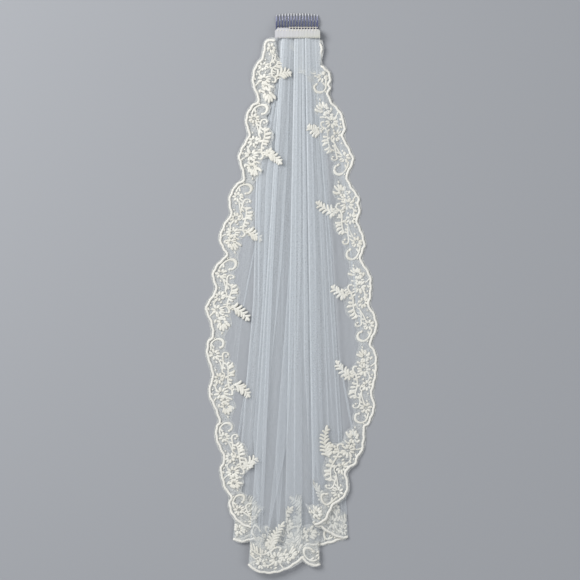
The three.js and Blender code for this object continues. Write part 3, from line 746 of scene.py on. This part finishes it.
# The rows are the crowding, the threads, the fine and the broad streaks and the creases.
cover = net_cover(tree, [
    (down_sheet, 0.5, 1.3, 0.44, 0.13),
    (holes.outputs["Distance"], 0.04, 0.22, 1.15, 0.92),
    (fine.outputs["Fac"], 0.3, 0.7, 0.84, 1.18),
    (broad.outputs["Fac"], 0.35, 0.65, 0.8, 1.22),
    (crease_mark, 0.0, 1.0, 1.0, 1.8),
])
tree.links.new(cover, shader.inputs["Alpha"])

points, quads, uv, crease, fan = tulle_shape()
tulle = make_piece("tulle_sheet", points, quads, tulle_net, uv=uv)
tulle.data.set_sharp_from_angle(angle=math.radians(50))
marks = ("crease", "FLOAT", "value", crease), ("fan", "FLOAT_VECTOR", "vector", fan)
for name, kind, key, values in marks:
    mark = tulle.data.attributes.new(name, kind, "POINT")
    mark.data.foreach_set(key, values.astype(np.float32).ravel())
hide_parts("veil_tulle")


# The cord is a thick two-ply rayon cord, couched round every scallop of the lace border. It runs from the
# band down the left side, across the hem and up the right side.

CORD_WIDE = 2.1
CORD_HIGH = 1.25
CORD_TWIST = 4.5
CORD_SWELL = 0.13
PICOT_EVERY = 16.5
PICOT_DEEP = 1.3
BORDER_STEP = 1.25

# How the side borders lie: how deep the left one's head is sunk among the plies and how far its foot is
# raised over the hem, how deep the right one's head is tucked in, and where each of these comes and goes,
# as distances from the fan's point, heights in plan and places across the fan.
SINK = 0.9
SINK_ACROSS = 0.0, 0.05
HEAD_RISES = 630, 665
HEAD_ENDS = 780, 740
FOOT_LIFT = 6.6
FOOT_RISES = 1190, 1250
FOOT_ACROSS = -0.10, 0.02
HEAD_TUCK = 4.6
TUCK_ENDS = -82, -64
TUCK_ACROSS = 1.1, 0.96


def panel_place(x, y, layer, raise_by):
    """A place of a side panel in plan, lifted onto the panel of that layer, with a smooth step wherever the
    border goes over or under the plies."""
    radius, across = fan_polar(x, y)
    z = layer_height(layer, across, radius)
    if layer == 0:
        sunk = layer_height(4, across, radius) - SINK * eased(across, *SINK_ACROSS)
        upper = sunk + (layer_height(TOP_LAYER, across, radius) - sunk) * eased(radius, *HEAD_RISES)
        z = z + (upper - z) * eased(radius, *HEAD_ENDS)
        z = z + FOOT_LIFT * eased(radius, *FOOT_RISES) * eased(across, *FOOT_ACROSS)
    if layer == TOP_LAYER:
        z = z - HEAD_TUCK * eased(y, *TUCK_ENDS) * eased(across, *TUCK_ACROSS)
    return np.stack([x, y, z + raise_by], -1)


def inward(path):
    """Unit vectors to the left of the direction of travel: the direction (a, b) turned to (-b, a)."""
    along = np.gradient(path, axis=-2)
    along /= np.maximum(np.linalg.norm(along, axis=-1, keepdims=True), 1e-6)
    return np.stack([-along[..., 1], along[..., 0]], -1)


def cord_ring(path, ring=10):
    """A two-ply cord along a path (p, 3): an ellipse whose size swells twice round it, and the swell turns
    with the distance along, once in each twist."""
    run = np.cumsum(np.linalg.norm(np.gradient(path, axis=0), axis=1))
    turn = np.arange(ring) * 2 * np.pi / ring
    swell = 1 + CORD_SWELL * np.cos(2 * turn[None] - run[:, None] * 2 * np.pi / CORD_TWIST)
    points = ringed(path, CORD_WIDE * swell * np.cos(turn), CORD_HIGH * swell * np.sin(turn))
    return points, *tube_faces(1, len(path), ring)


def side_line(edge, downward):
    """A side's edge in its direction of travel, with the small picots: the sine's bows, all outwards."""
    path = smooth_path(edge if downward else edge[::-1], BORDER_STEP)
    run = np.arange(len(path)) * BORDER_STEP
    out = -inward(path)
    return path + out * (PICOT_DEEP * np.abs(np.sin(np.pi * run / PICOT_EVERY)))[:, None]


left_line, right_line = side_line(LEFT_EDGE, True), side_line(RIGHT_EDGE, False)
hem_turns = np.linspace(HEM_FIRST, HEM_LAST, 560)
hem_rim = hem_radius(hem_turns) + PICOT_DEEP * np.abs(np.sin(np.pi * hem_turns * HEM_RADIUS / PICOT_EVERY))
hem_x, hem_y, hem_z, _ = folded_place(hem_turns, hem_rim - CORD_WIDE)
hem_z = np.maximum(hem_z, 1.2 * CORD_HIGH)

# Rayon cord: two plies of bright satin yarn, ivory, with a soft gloss along each ply. The yarns are drawn
# about 1 mm wide.
rayon, tree, shader = new_finish(
    "two_ply_rayon_cord",
    Base_Color=linear("#f2efe6"), Roughness=0.5, Sheen_Weight=0.35, Sheen_Roughness=0.4,
)
spot = add_node(tree, "TexCoord").outputs["Object"]
yarn = add_node(tree, "TexNoise", {"Scale": 900.0, "Detail": 2.0}, {"Vector": spot})
bump = add_node(tree, "Bump", {"Strength": 0.35, "Distance": 0.0004}, {"Height": yarn.outputs["Fac"]})
tree.links.new(bump.outputs["Normal"], shader.inputs["Normal"])

left_cord = left_line + inward(left_line) * CORD_WIDE
right_cord = right_line + inward(right_line) * CORD_WIDE
for name, path, node in (
    ("left_edge_cord", panel_place(*left_cord.T, 0, CORD_HIGH), "edge_cord_left"),
    ("hem_edge_cord", np.stack([hem_x, hem_y, hem_z], -1), "edge_cord_hem"),
    ("right_edge_cord", panel_place(*right_cord.T, TOP_LAYER, CORD_HIGH), "edge_cord_right"),
):
    points, quads, ends = cord_ring(path)
    cord = make_piece(name, points, quads, rayon, ends=ends, outward=True)
    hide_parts(node)


# The lace border is a strip of stiffer net inside the cord, with embroidered motifs laid on it: scrolls,
# daisies, sprigs and a leafy frond in each repeat, all in raised satin stitch.

REPEAT = 142.0
BASE_REACH = 40
OFFSET_REACH = 8
HIGH_FROND_ENDS = 640
FROND_SINK_ACROSS = -0.12, -0.06


def smoothed(values, reach):
    """Running mean over reach steps, weighted by half a cosine, with the ends carried on in a line."""
    weights = np.hanning(2 * reach + 3)[1:-1]
    weights /= weights.sum()
    lead = values[:1] - (values[1:2] - values[:1]) * np.arange(reach, 0, -1)[:, None]
    tail = values[-1:] + (values[-1:] - values[-2:-1]) * np.arange(1, reach + 1)[:, None]
    long = np.concatenate([lead, values, tail])
    return np.stack([np.convolve(long[:, d], weights, "valid") for d in range(values.shape[1])], -1)


class SideBorder:
    """Border coordinates of a side: s along a smoothed edge and d inwards from the cord."""

    def __init__(self, line, layer):
        """base is the edge smoothed, run the way along it, and offset how far the edge lies off it."""
        self.layer = layer
        self.base = smoothed(line, BASE_REACH)
        self.normal = inward(self.base)
        step = np.linalg.norm(np.diff(self.base, axis=0), axis=1)
        self.run = np.concatenate([[0], np.cumsum(step)])
        offset = np.sum((line - self.base) * self.normal, axis=1, keepdims=True)
        self.offset = smoothed(offset, OFFSET_REACH)[:, 0]

    def plan(self, s, d):
        """x and y: the smoothed edge at s, plus d and the edge's own offset along the normal. Beyond either
        end it goes on in a straight line."""
        lines = (*self.base.T, *self.normal.T, self.offset)
        x, y, nx, ny, off = (np.interp(s, self.run, line) for line in lines)
        beyond = np.minimum(s, 0) + np.maximum(s - self.run[-1], 0)
        return x + nx * (d + off) + ny * beyond, y + ny * (d + off) - nx * beyond

    def lay(self, s, d, high):
        """The same place on its panel, raised by high."""
        return panel_place(*self.plan(s, d), self.layer, high)

    def lay_frond(self, x, y, high):
        """A frond of the left side is laid in among the plies where it reaches the pleats, never lower than
        a share of them. The one next to the band lies higher up in them than the others."""
        places = panel_place(x, y, self.layer, high)
        if self.layer == 0:
            radius, across = fan_polar(x, y)
            among = np.where(radius < HIGH_FROND_ENDS, 6, 2)
            sunk = layer_height(among, across, radius) - SINK * eased(across, *FROND_SINK_ACROSS) + high
            places[..., 2] = np.maximum(places[..., 2], sunk)
        return places

    def s_of(self, y_notch):
        """How far along the border the smoothed edge passes a height in plan."""
        return float(self.run[np.argmin(np.abs(self.base[:, 1] - y_notch))])


class HemBorder:
    """Border coordinates of the hem: s along the unfolded hem and d inwards, through the pleats."""

    def lay(self, s, d, high):
        """The place on the folded sheet, raised by high on the face that was up before it was folded."""
        turn = s / HEM_RADIUS
        x, y, z, facing = folded_place(turn, hem_radius(turn, follow=0.75) - d)
        return np.stack([x, y, z + facing * high], -1)

    lay_frond = lay


left_border = SideBorder(left_line, 0)
right_border = SideBorder(right_line, TOP_LAYER)
hem_border = HemBorder()

# Main notches, where a repeat of the pattern starts: heights in plan down the left side and up the
# right side, and turns along the hem.
LEFT_STARTS = [left_border.s_of(y) for y in (-123, -260, -393, -535, -685, -815)]
RIGHT_STARTS = [right_border.s_of(y) for y in (-841, -694, -547, -400, -255, -109)]
HEM_STARTS = [HEM_RADIUS * turn for turn in (0.050, 0.148, 0.2462, 0.360, 0.434)]

# One repeat of the embroidery, in millimetres from its main notch and in from the cord.
# Satin-stitch stems: the points that each one passes, and half its width at the two ends. They are the big
# scroll, its stub, the hook, the two stalks of the first daisy, the sprig's stalk, the stalk of the second
# daisy, the vine to the frond, the inner curl, a stub from the cord and a tie.
STEM_STATIONS = 16
STEMS = [
    ([(24, 9), (16, 7.5), (10, 7.5), (5.5, 9.5), (3, 14), (3.5, 20), (6.5, 25.5), (11, 28), (15.5, 27.5),
      (17, 25)], 1.6, 2.1),
    ([(13, 8), (16, 11), (18.5, 13.5)], 1.2, 1.7),
    ([(42, 26), (37, 27), (31.5, 28.5), (28, 32), (28.5, 36.5), (32, 38), (35, 36.5)], 1.5, 1.9),
    ([(38, 18.5), (46, 19.5), (55, 19.5), (61, 19)], 1.4, 1.4),
    ([(42, 26), (47, 24.5), (52, 22.5), (58, 20)], 1.5, 1.5),
    ([(49, 29), (55, 30.5), (62, 29), (69, 29), (75, 30.5), (81, 33.5), (86, 35.5)], 1.4, 1.7),
    ([(76, 12.5), (81, 11), (86, 12), (91, 15.5)], 1.4, 1.5),
    ([(90, 26.5), (87, 30.5), (85.5, 36), (84, 41)], 1.6, 1.7),
    ([(86, 35.5), (91.5, 40.5), (98.5, 41.5), (103.5, 39), (102.5, 35.5)], 1.7, 2.1),
    ([(109, 3), (106, 7), (103, 11.5)], 1.2, 1.3),
    ([(60, 19), (64, 22.5), (68, 22), (71, 20)], 1.2, 1.2),
]
# Daisies: place, number of petals, petal length, petal width and turn.
DAISIES = [
    (31, 15, 8, 10.6, 4.4, 0.2),
    (70, 12.7, 8, 9.6, 4.1, 0.5),
    (96.5, 21.5, 9, 13.0, 4.7, 0.1),
    (110, 21.5, 7, 8.4, 4.2, 0.3),
    (121, 20, 8, 9.6, 4.2, 0.0),
    (85, 48, 8, 9.6, 4.6, 0.3),
]
# Leaves: root, tip and width. Those of the sprig come first, then those of the stems and the fillings.
LEAVES = [
    (51, 29.5, 47.5, 35.5, 3.4), (54, 30.5, 48, 41.5, 3.6), (58, 30, 54, 42, 3.7),
    (62.5, 29, 59.5, 41, 3.7), (66.5, 29, 66, 40, 3.6), (71, 29.5, 72.5, 38.5, 3.5),
    (76.5, 31, 78, 38, 3.4), (45, 25, 40.5, 20.5, 3.8), (48, 24.5, 51, 28.5, 3.6),
    (53, 22.5, 57, 25.5, 3.6), (37, 27, 34.5, 22, 3.6), (67, 28.5, 69, 23.5, 3.8),
    (80, 32.5, 83, 27, 3.8), (84, 12, 81, 6.5, 3.6), (121.5, 26, 127, 34, 4.8), (122, 16, 129, 11, 4.2),
    (125, 19, 132.5, 14.5, 4.4), (126, 22, 133.5, 20.5, 4.4), (124, 24, 131, 27, 4.2),
    (110, 29, 114, 35, 4.0), (98, 7, 93.5, 4, 3.4), (115, 12, 120, 7.5, 3.6),
]
# Beads of padded stitch: place and radius. The first three close the scroll, the hook and the curl.
BEADS = [
    (17.5, 24.5, 2.7), (37, 33.5, 2.3), (102.5, 36, 2.4), (44.5, 13.5, 2.1), (79, 21, 2.0),
    (61, 19.5, 1.7), (88, 7, 1.7), (57, 8, 1.6), (3, 7, 1.5), (136, 18, 1.7), (24, 21.5, 1.6),
    (39, 10, 1.5),
]
# The threads spread a little past the line that they are sewn to.
SPREAD = 1.1


# The half width of a leaf and of a bead from root to tip, in shares, and the section of raised satin
# stitch from side to side, in shares of its half width and its rise.
LEAF_SWELL = np.array([0.45, 0.86, 1.05, 1.08, 0.96, 0.55])
BEAD_SWELL = np.array([0.3, 0.85, 1.0, 1.0, 0.85, 0.3])
RELIEF_ACROSS = np.array([1.0, 0.66, 0.0, -0.66, -1.0, 0.0])
RELIEF_UP = np.array([0.15, 0.8, 1.0, 0.8, 0.15, -0.25])
STITCH_LIFT = 0.35


def leaf_paths(root, tip, width, bend):
    """Leaves as centre lines (m, 6, 2) from root to tip, bowed sideways by bend times a sine, with half
    widths that swell to the middle and close to a point."""
    f = np.linspace(0, 1, len(LEAF_SWELL))
    way = tip - root
    side = np.stack([-way[:, 1], way[:, 0]], -1)
    bow = (bend[:, None] * np.sin(np.pi * f))[..., None]
    path = root[:, None] + way[:, None] * f[:, None] + side[:, None] * bow
    return path, width[:, None] / 2 * LEAF_SWELL


def sewn_relief(path, half, rise):
    """Raised satin stitch along centre lines (m, p, 2): six points round each station, two at the sides,
    two on the shoulders, one on the crown and one under it. The height falls with the width where a shape
    narrows. Gives flat places, heights, quads and end caps."""
    flat = path[:, :, None] - inward(path)[:, :, None] * (half[..., None] * RELIEF_ACROSS)[..., None]
    thick = np.minimum(1.0, half / half.max(axis=1, keepdims=True) + 0.25)[..., None]
    high = STITCH_LIFT + thick * rise[:, None, None] * RELIEF_UP
    return flat.reshape(-1, 2), high.ravel(), *tube_faces(*path.shape[:2], len(RELIEF_ACROSS))


def beads(places, radii):
    """Small domes as short, wide leaves that are as wide as they are long."""
    half = radii[:, None] * np.array([[1.0, 0.0]])
    path, _ = leaf_paths(places - half, places + half, radii, 0 * radii)
    return path, radii[:, None] * BEAD_SWELL


def repeat_motifs(rng):
    """The leaves, petals, beads and stems of one repeat, each a little off its drawn place by a seeded
    random amount. Petals stand round a daisy at even angles."""
    roots, tips, widths, bends = [], [], [], []
    for s, d, count, length, width, turn in DAISIES:
        angle = turn + rng.uniform(-0.3, 0.3) + np.arange(count) * 2 * np.pi / count
        angle = angle + rng.normal(0, 0.05, count)
        way = np.stack([np.cos(angle), np.sin(angle)], -1)
        centre = np.array([s, d]) + rng.normal(0, 0.5, 2)
        reach = length * rng.uniform(0.9, 1.08, count)
        roots.append(centre + way * (0.2 * length + 0.9))
        tips.append(centre + way * reach[:, None])
        widths.append(np.full(count, width) * rng.uniform(0.88, 1.1, count))
        bends.append(rng.uniform(-0.06, 0.06, count))
    leaves = np.array(LEAVES, float)
    leaves[:, :4] += rng.normal(0, 0.45, (len(leaves), 4))
    roots.append(leaves[:, :2])
    tips.append(leaves[:, 2:4])
    widths.append(leaves[:, 4])
    bends.append(rng.uniform(-0.14, 0.14, len(leaves)))
    sizes = np.concatenate(widths) * SPREAD
    leafy = leaf_paths(np.concatenate(roots), np.concatenate(tips), sizes, np.concatenate(bends))
    dots = np.array(BEADS, float)
    centres = np.array([(s, d, 0.09 * length) for s, d, _, length, *_ in DAISIES])
    dots = np.concatenate([dots, centres])
    dotted = beads(dots[:, :2] + rng.normal(0, 0.2, (len(dots), 2)), dots[:, 2])
    lines, halves = [], []
    for stops, wide_start, wide_end in STEMS:
        curve = smooth_path(np.array(stops, float), step=0.5)
        lines.append(curve[np.linspace(0, len(curve) - 1, STEM_STATIONS).astype(int)])
        halves.append(np.linspace(wide_start, wide_end, STEM_STATIONS) * SPREAD)
    return leafy, dotted, (np.array(lines), np.array(halves))


FROND_LEAF = 12.5
FROND_PITCH = 7.8
FROND_BOW = 0.10
FROND_OPEN = 0.9
FROND_LEAF_WIDE, FROND_TIP_WIDE = 4.6, 5.2
FROND_STEM = 1.9, 1.2
LEAVES_UP_TO = 0.82


def frond_motifs(root, tip, rng):
    """A leafy frond from a root to a tip in one plane: a stem bowed by half a sine, evenly stepped pairs of
    leaves that shorten towards the tip, and one long tip leaf. Places are (2,) arrays."""
    way = tip - root
    length = np.linalg.norm(way)
    way = way / length
    side = np.array([-way[1], way[0]])
    bow = FROND_BOW * rng.uniform(0.8, 1.2)
    pairs = max(3, round(length / FROND_PITCH))

    def on_stem(f):
        """The stem's place at the share f: along the way, plus a bow of half a sine."""
        f = np.asarray(f)[..., None]
        return root + length * (way * f + side * bow * np.sin(np.pi * f))

    f = (np.arange(pairs) + 0.3) / pairs * LEAVES_UP_TO
    f = np.concatenate([f, f + 0.4 / pairs])
    size = 1.15 - 0.6 * f
    sign = np.repeat([1, -1], pairs)
    along = np.arctan(bow * np.pi * np.cos(np.pi * f))
    angle = along + sign * (FROND_OPEN + rng.normal(0, 0.08, 2 * pairs))
    direction = way * np.cos(angle)[:, None] + side * np.sin(angle)[:, None]
    reach = FROND_LEAF * size * rng.uniform(0.9, 1.1, 2 * pairs)
    roots = np.concatenate([on_stem(f), on_stem([0.8])])
    tips = np.concatenate([on_stem(f) + direction * reach[:, None], tip[None]])
    widths = np.concatenate([FROND_LEAF_WIDE * size**0.5, [FROND_TIP_WIDE]])
    bends = np.concatenate([-0.14 * sign, [0.0]])
    leafy = leaf_paths(roots, tips, widths, bends)
    stem = on_stem(np.linspace(0, 0.9, STEM_STATIONS))[None]
    return leafy, (stem, np.linspace(*FROND_STEM, STEM_STATIONS)[None])


LEAF_RISE, STEM_RISE, BEAD_RISE = 1.2, 1.1, 1.5
PAST_END = 8
NARROW_LACE = 27


def embroider(border, starts, low, high, fronds, seed, drawn_in):
    """Every repeat of a border as one mesh, each stretched to reach the next start. Shapes whose middle
    lies beyond the border's ends are left out, and so are those deeper than NARROW_LACE past drawn_in,
    where the lace narrows into the band."""
    rng = np.random.default_rng(seed)
    lengths = [REPEAT, *np.diff(starts[1:]), REPEAT]
    leaf_groups, stem_groups = [], []
    for start, length in zip(starts, lengths):
        groups = (leaf_groups, LEAF_RISE), (leaf_groups, BEAD_RISE), (stem_groups, STEM_RISE)
        for (group, rise), (path, half) in zip(groups, repeat_motifs(rng)):
            placed = path * np.array([length / REPEAT, 1.0]) + np.array([start, 0.0])
            middle, last = placed[..., 0].mean(axis=1), placed[..., 0].max(axis=1)
            keep = (middle > low) & (middle < high) & (last < high + PAST_END)
            keep &= (middle < drawn_in) | (placed[..., 1].max(axis=1) < NARROW_LACE)
            group.append((placed[keep], half[keep], np.full(keep.sum(), rise)))
    parts = []
    for group in (leaf_groups, stem_groups):
        flat, up, *faces = sewn_relief(*(np.concatenate(values) for values in zip(*group)))
        parts.append((border.lay(*flat.T, up), *faces))
    for root, tip in fronds:
        leafy, stem = frond_motifs(np.array(root, float), np.array(tip, float), rng)
        for (path, half), rise in ((leafy, LEAF_RISE), (stem, STEM_RISE)):
            flat, up, *faces = sewn_relief(path, half, np.full(len(path), rise))
            parts.append((border.lay_frond(*flat.T, up), *faces))
    points, quads, ends = joined(*parts)
    points[:, 2] = np.maximum(points[:, 2], 0.05)
    return points, quads, ends


# Each frond grows from the vine a little past the middle of its repeat: its root in the repeat, and its
# tip in plan. The hem's fronds stay in the hem's own border coordinates, and each leans forward to its tip.
# The last repeat of a border has none.
SIDE_ROOT = 85, 41
LEFT_TIPS = [(-9, -75), (-26, -235), (-61, -368), (-83, -508), (-82, -642), (-68, -748)]
RIGHT_TIPS = [(53, -690), (68, -577), (60, -447), (33, -300), (18, -168)]
HEM_ROOT = 82, 38
HEM_LEANS = (24, 38), (34, 72), (24, 46), (24, 40), (24, 38)

# Each border's starts take in the cut-short repeat before its first main notch. The left side's is 8 mm
# nearer to that notch than a whole repeat.
left_starts = [LEFT_STARTS[0] - REPEAT + 8, *LEFT_STARTS]
right_starts = [RIGHT_STARTS[0] - REPEAT, *RIGHT_STARTS]
hem_starts = [HEM_STARTS[0] - REPEAT, *HEM_STARTS]
left_roots = [left_border.plan(start + SIDE_ROOT[0], SIDE_ROOT[1]) for start in left_starts]
right_roots = [right_border.plan(start + SIDE_ROOT[0], SIDE_ROOT[1]) for start in RIGHT_STARTS]
hem_roots = [np.array([start + HEM_ROOT[0], HEM_ROOT[1]]) for start in hem_starts]
hem_tips = [root + lean for root, lean in zip(hem_roots, HEM_LEANS)]


# Rayon satin stitch: ivory thread laid side by side across each shape, glossy along the thread. The threads
# are a quarter of a millimetre and are drawn at one.
satin, tree, shader = new_finish(
    "rayon_satin_stitch", Roughness=0.46, Sheen_Weight=0.3, Sheen_Roughness=0.4, Specular_IOR_Level=0.4
)
spot = add_node(tree, "TexCoord").outputs["Object"]
stitch = add_node(tree, "TexNoise", {"Scale": 1100.0, "Detail": 2.0, "Roughness": 0.6}, {"Vector": spot})
bump = add_node(tree, "Bump", {"Strength": 0.45, "Distance": 0.0005}, {"Height": stitch.outputs["Fac"]})
tree.links.new(bump.outputs["Normal"], shader.inputs["Normal"])
dye = add_node(tree, "TexNoise", {"Scale": 42.0, "Detail": 2.0}, {"Vector": spot})
tone = add_node(tree, "ValToRGB", links={"Fac": dye.outputs["Fac"]})
for stop, share, colour in zip(tone.color_ramp.elements, (0.35, 0.65), ("#e8e5da", "#f3f1e8")):
    stop.position, stop.color = share, linear(colour)
tree.links.new(tone.outputs["Color"], shader.inputs["Base Color"])

left_end, right_end = left_border.run[-1], right_border.run[-1]
hem_begin, hem_end = HEM_RADIUS * HEM_FIRST, HEM_RADIUS * HEM_LAST

# Each row is a border: its piece and node, its repeats' starts, where its embroidery begins and ends, its
# fronds' roots and tips, its seed, and where it is drawn in.
for name, node, border, starts, low, high, roots, tips, seed, drawn_in in (
    ("left_lace", "lace_border_left", left_border, left_starts,
     6, left_end - 2, left_roots, LEFT_TIPS, 11, math.inf),
    ("right_lace", "lace_border_right", right_border, right_starts,
     2, right_end - 10, right_roots, RIGHT_TIPS, 23, right_end - 78),
    ("hem_lace", "lace_border_hem", hem_border, hem_starts,
     hem_begin + 3, hem_end - 3, hem_roots, hem_tips, 37, math.inf),
):
    points, quads, ends = embroider(border, starts, low, high, zip(roots, tips), seed, drawn_in)
    lace = make_piece(name, points, quads, satin, ends=ends, outward=True)
    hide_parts(node)


# Under the embroidery lies the lace's own ground, a denser net than the tulle. It ends just inside the
# motifs and stands out a little past the cord as a soft margin.

GROUND_ROWS = 14
GROUND_STEP = 4.0
GROUND_OUT = 2.8
GROUND_LIFT = 0.3

# The inner edge of the lace's own net over one repeat.
GROUND_EDGE = np.array([
    (0, 22), (4, 30), (12, 34), (20, 33), (28, 41), (36, 41), (44, 36), (50, 44), (58, 46), (68, 44),
    (78, 50), (86, 58), (94, 52), (102, 45), (112, 38), (126, 37), (134, 27),
], float)


def ground_strip(border, starts, low, high):
    """A strip in border coordinates: s runs along the border in even steps and d from outside the cord to
    the inner edge, which is read off GROUND_EDGE by how far s is from the last main notch."""
    s = np.linspace(low, high, round((high - low) / GROUND_STEP))
    marks = np.array([starts[0] - 2 * REPEAT, starts[0] - REPEAT, *starts, starts[-1] + REPEAT])
    last = np.clip(np.searchsorted(marks, s, side="right") - 1, 0, len(marks) - 2)
    share = (s - marks[last]) / (marks[last + 1] - marks[last]) * REPEAT
    deep = np.interp(share, GROUND_EDGE[:, 0], GROUND_EDGE[:, 1], period=REPEAT)
    d = -GROUND_OUT + (deep[:, None] + GROUND_OUT) * np.linspace(0, 1, GROUND_ROWS)
    s = np.broadcast_to(s[:, None], d.shape)
    return border.lay(s, d, GROUND_LIFT + 0 * d), grid_quads(*d.shape), np.stack([s, d], -1) / 1000


# Stiffened nylon bobbinet: whiter and closer than the veil's tulle. Its mesh is 1.5 mm, drawn at 3 mm.
ground_net, tree, shader = new_finish(
    "stiffened_nylon_bobbinet",
    Base_Color=linear("#e9eae6"), Roughness=0.8, Sheen_Weight=0.2, Specular_IOR_Level=0.2,
)
sheet = add_node(tree, "UVMap", uv_map="cloth").outputs["UV"]
holes = add_node(tree, "TexVoronoi", {"Scale": 330.0}, {"Vector": sheet}, feature="DISTANCE_TO_EDGE")
patchy = add_node(tree, "TexNoise", {"Scale": 120.0, "Detail": 2.0}, {"Vector": sheet})

# The rows are the threads and a slight patchiness.
cover = net_cover(tree, [
    (holes.outputs["Distance"], 0.03, 0.3, 0.58, 0.14),
    (patchy.outputs["Fac"], 0.3, 0.7, 0.6, 1.3),
])
tree.links.new(cover, shader.inputs["Alpha"])

for name, border, starts, low, high in (
    ("left_lace_ground", left_border, LEFT_STARTS, 0, left_end),
    ("right_lace_ground", right_border, RIGHT_STARTS, 0, right_end),
    ("hem_lace_ground", hem_border, HEM_STARTS, hem_begin, hem_end),
):
    points, quads, uv = ground_strip(border, starts, low, high)
    points[..., 2] = np.maximum(points[..., 2], 0.1)
    make_piece(name, points, quads, ground_net, uv=uv)


# The floor is a plain pale board, and the light is a large soft box above and to the left with a weaker one
# to the right. The camera looks straight down through a long lens, as in the photograph.

FLOOR_HALF = 4.0
# The lights face the middle of the veil, and the camera stands over the middle of the photograph.
VEIL_MIDDLE = (-0.012, -0.454)
PHOTO_MIDDLE = (-0.01225, -0.4541)

# Matt painted board: mid-pale grey, with next to no gloss.
board, tree, shader = new_finish(
    "pale_grey_board", Base_Color=linear("#a6a8ac"), Roughness=0.9, Specular_IOR_Level=0.2
)
floor_mesh = bpy.data.meshes.new("floor")
corners = [(FLOOR_HALF * i, FLOOR_HALF * j, 0) for i, j in ((-1, -1), (1, -1), (1, 1), (-1, 1))]
floor_mesh.from_pydata(corners, [], [(0, 1, 2, 3)])
floor_mesh.materials.append(board)
floor = bpy.data.objects.new("floor", floor_mesh)
bpy.context.collection.objects.link(floor)


def soft_box(name, place, size, watts):
    """A square soft box that faces the middle of the veil."""
    lamp = bpy.data.lights.new(name, "AREA")
    lamp.shape, lamp.size, lamp.energy = "SQUARE", size, watts
    box = bpy.data.objects.new(name, lamp)
    box.location = place
    aim = Vector((*VEIL_MIDDLE, 0)) - box.location
    box.rotation_euler = aim.to_track_quat("-Z", "Y").to_euler()
    bpy.context.collection.objects.link(box)


soft_box("key_soft_box", (-1.9, 0.9, 2.1), size=1.6, watts=78)
soft_box("fill_soft_box", (2.2, -1.6, 2.6), size=2.2, watts=26)
world = bpy.data.worlds.new("studio")
world.use_nodes = True
background = world.node_tree.nodes["Background"]
background.inputs["Color"].default_value = linear("#e8ecf2")
background.inputs["Strength"].default_value = 0.42
scene = bpy.context.scene
scene.world = world
scene.view_settings.view_transform = "Standard"
# Seen from the side, light passes through many plies of net.
scene.cycles.transparent_max_bounces = 48

PIXELS = 580
MM_PER_PIXEL = 1.75
LENS, SENSOR = 135.0, 36.0
camera = bpy.data.cameras.new("camera")
camera.lens, camera.sensor_width = LENS, SENSOR
camera.clip_start, camera.clip_end = 0.05, 50.0
eye = bpy.data.objects.new("camera", camera)
eye.location = (*PHOTO_MIDDLE, PIXELS * MM_PER_PIXEL / 1000 * LENS / SENSOR)
bpy.context.collection.objects.link(eye)
scene.camera = eye
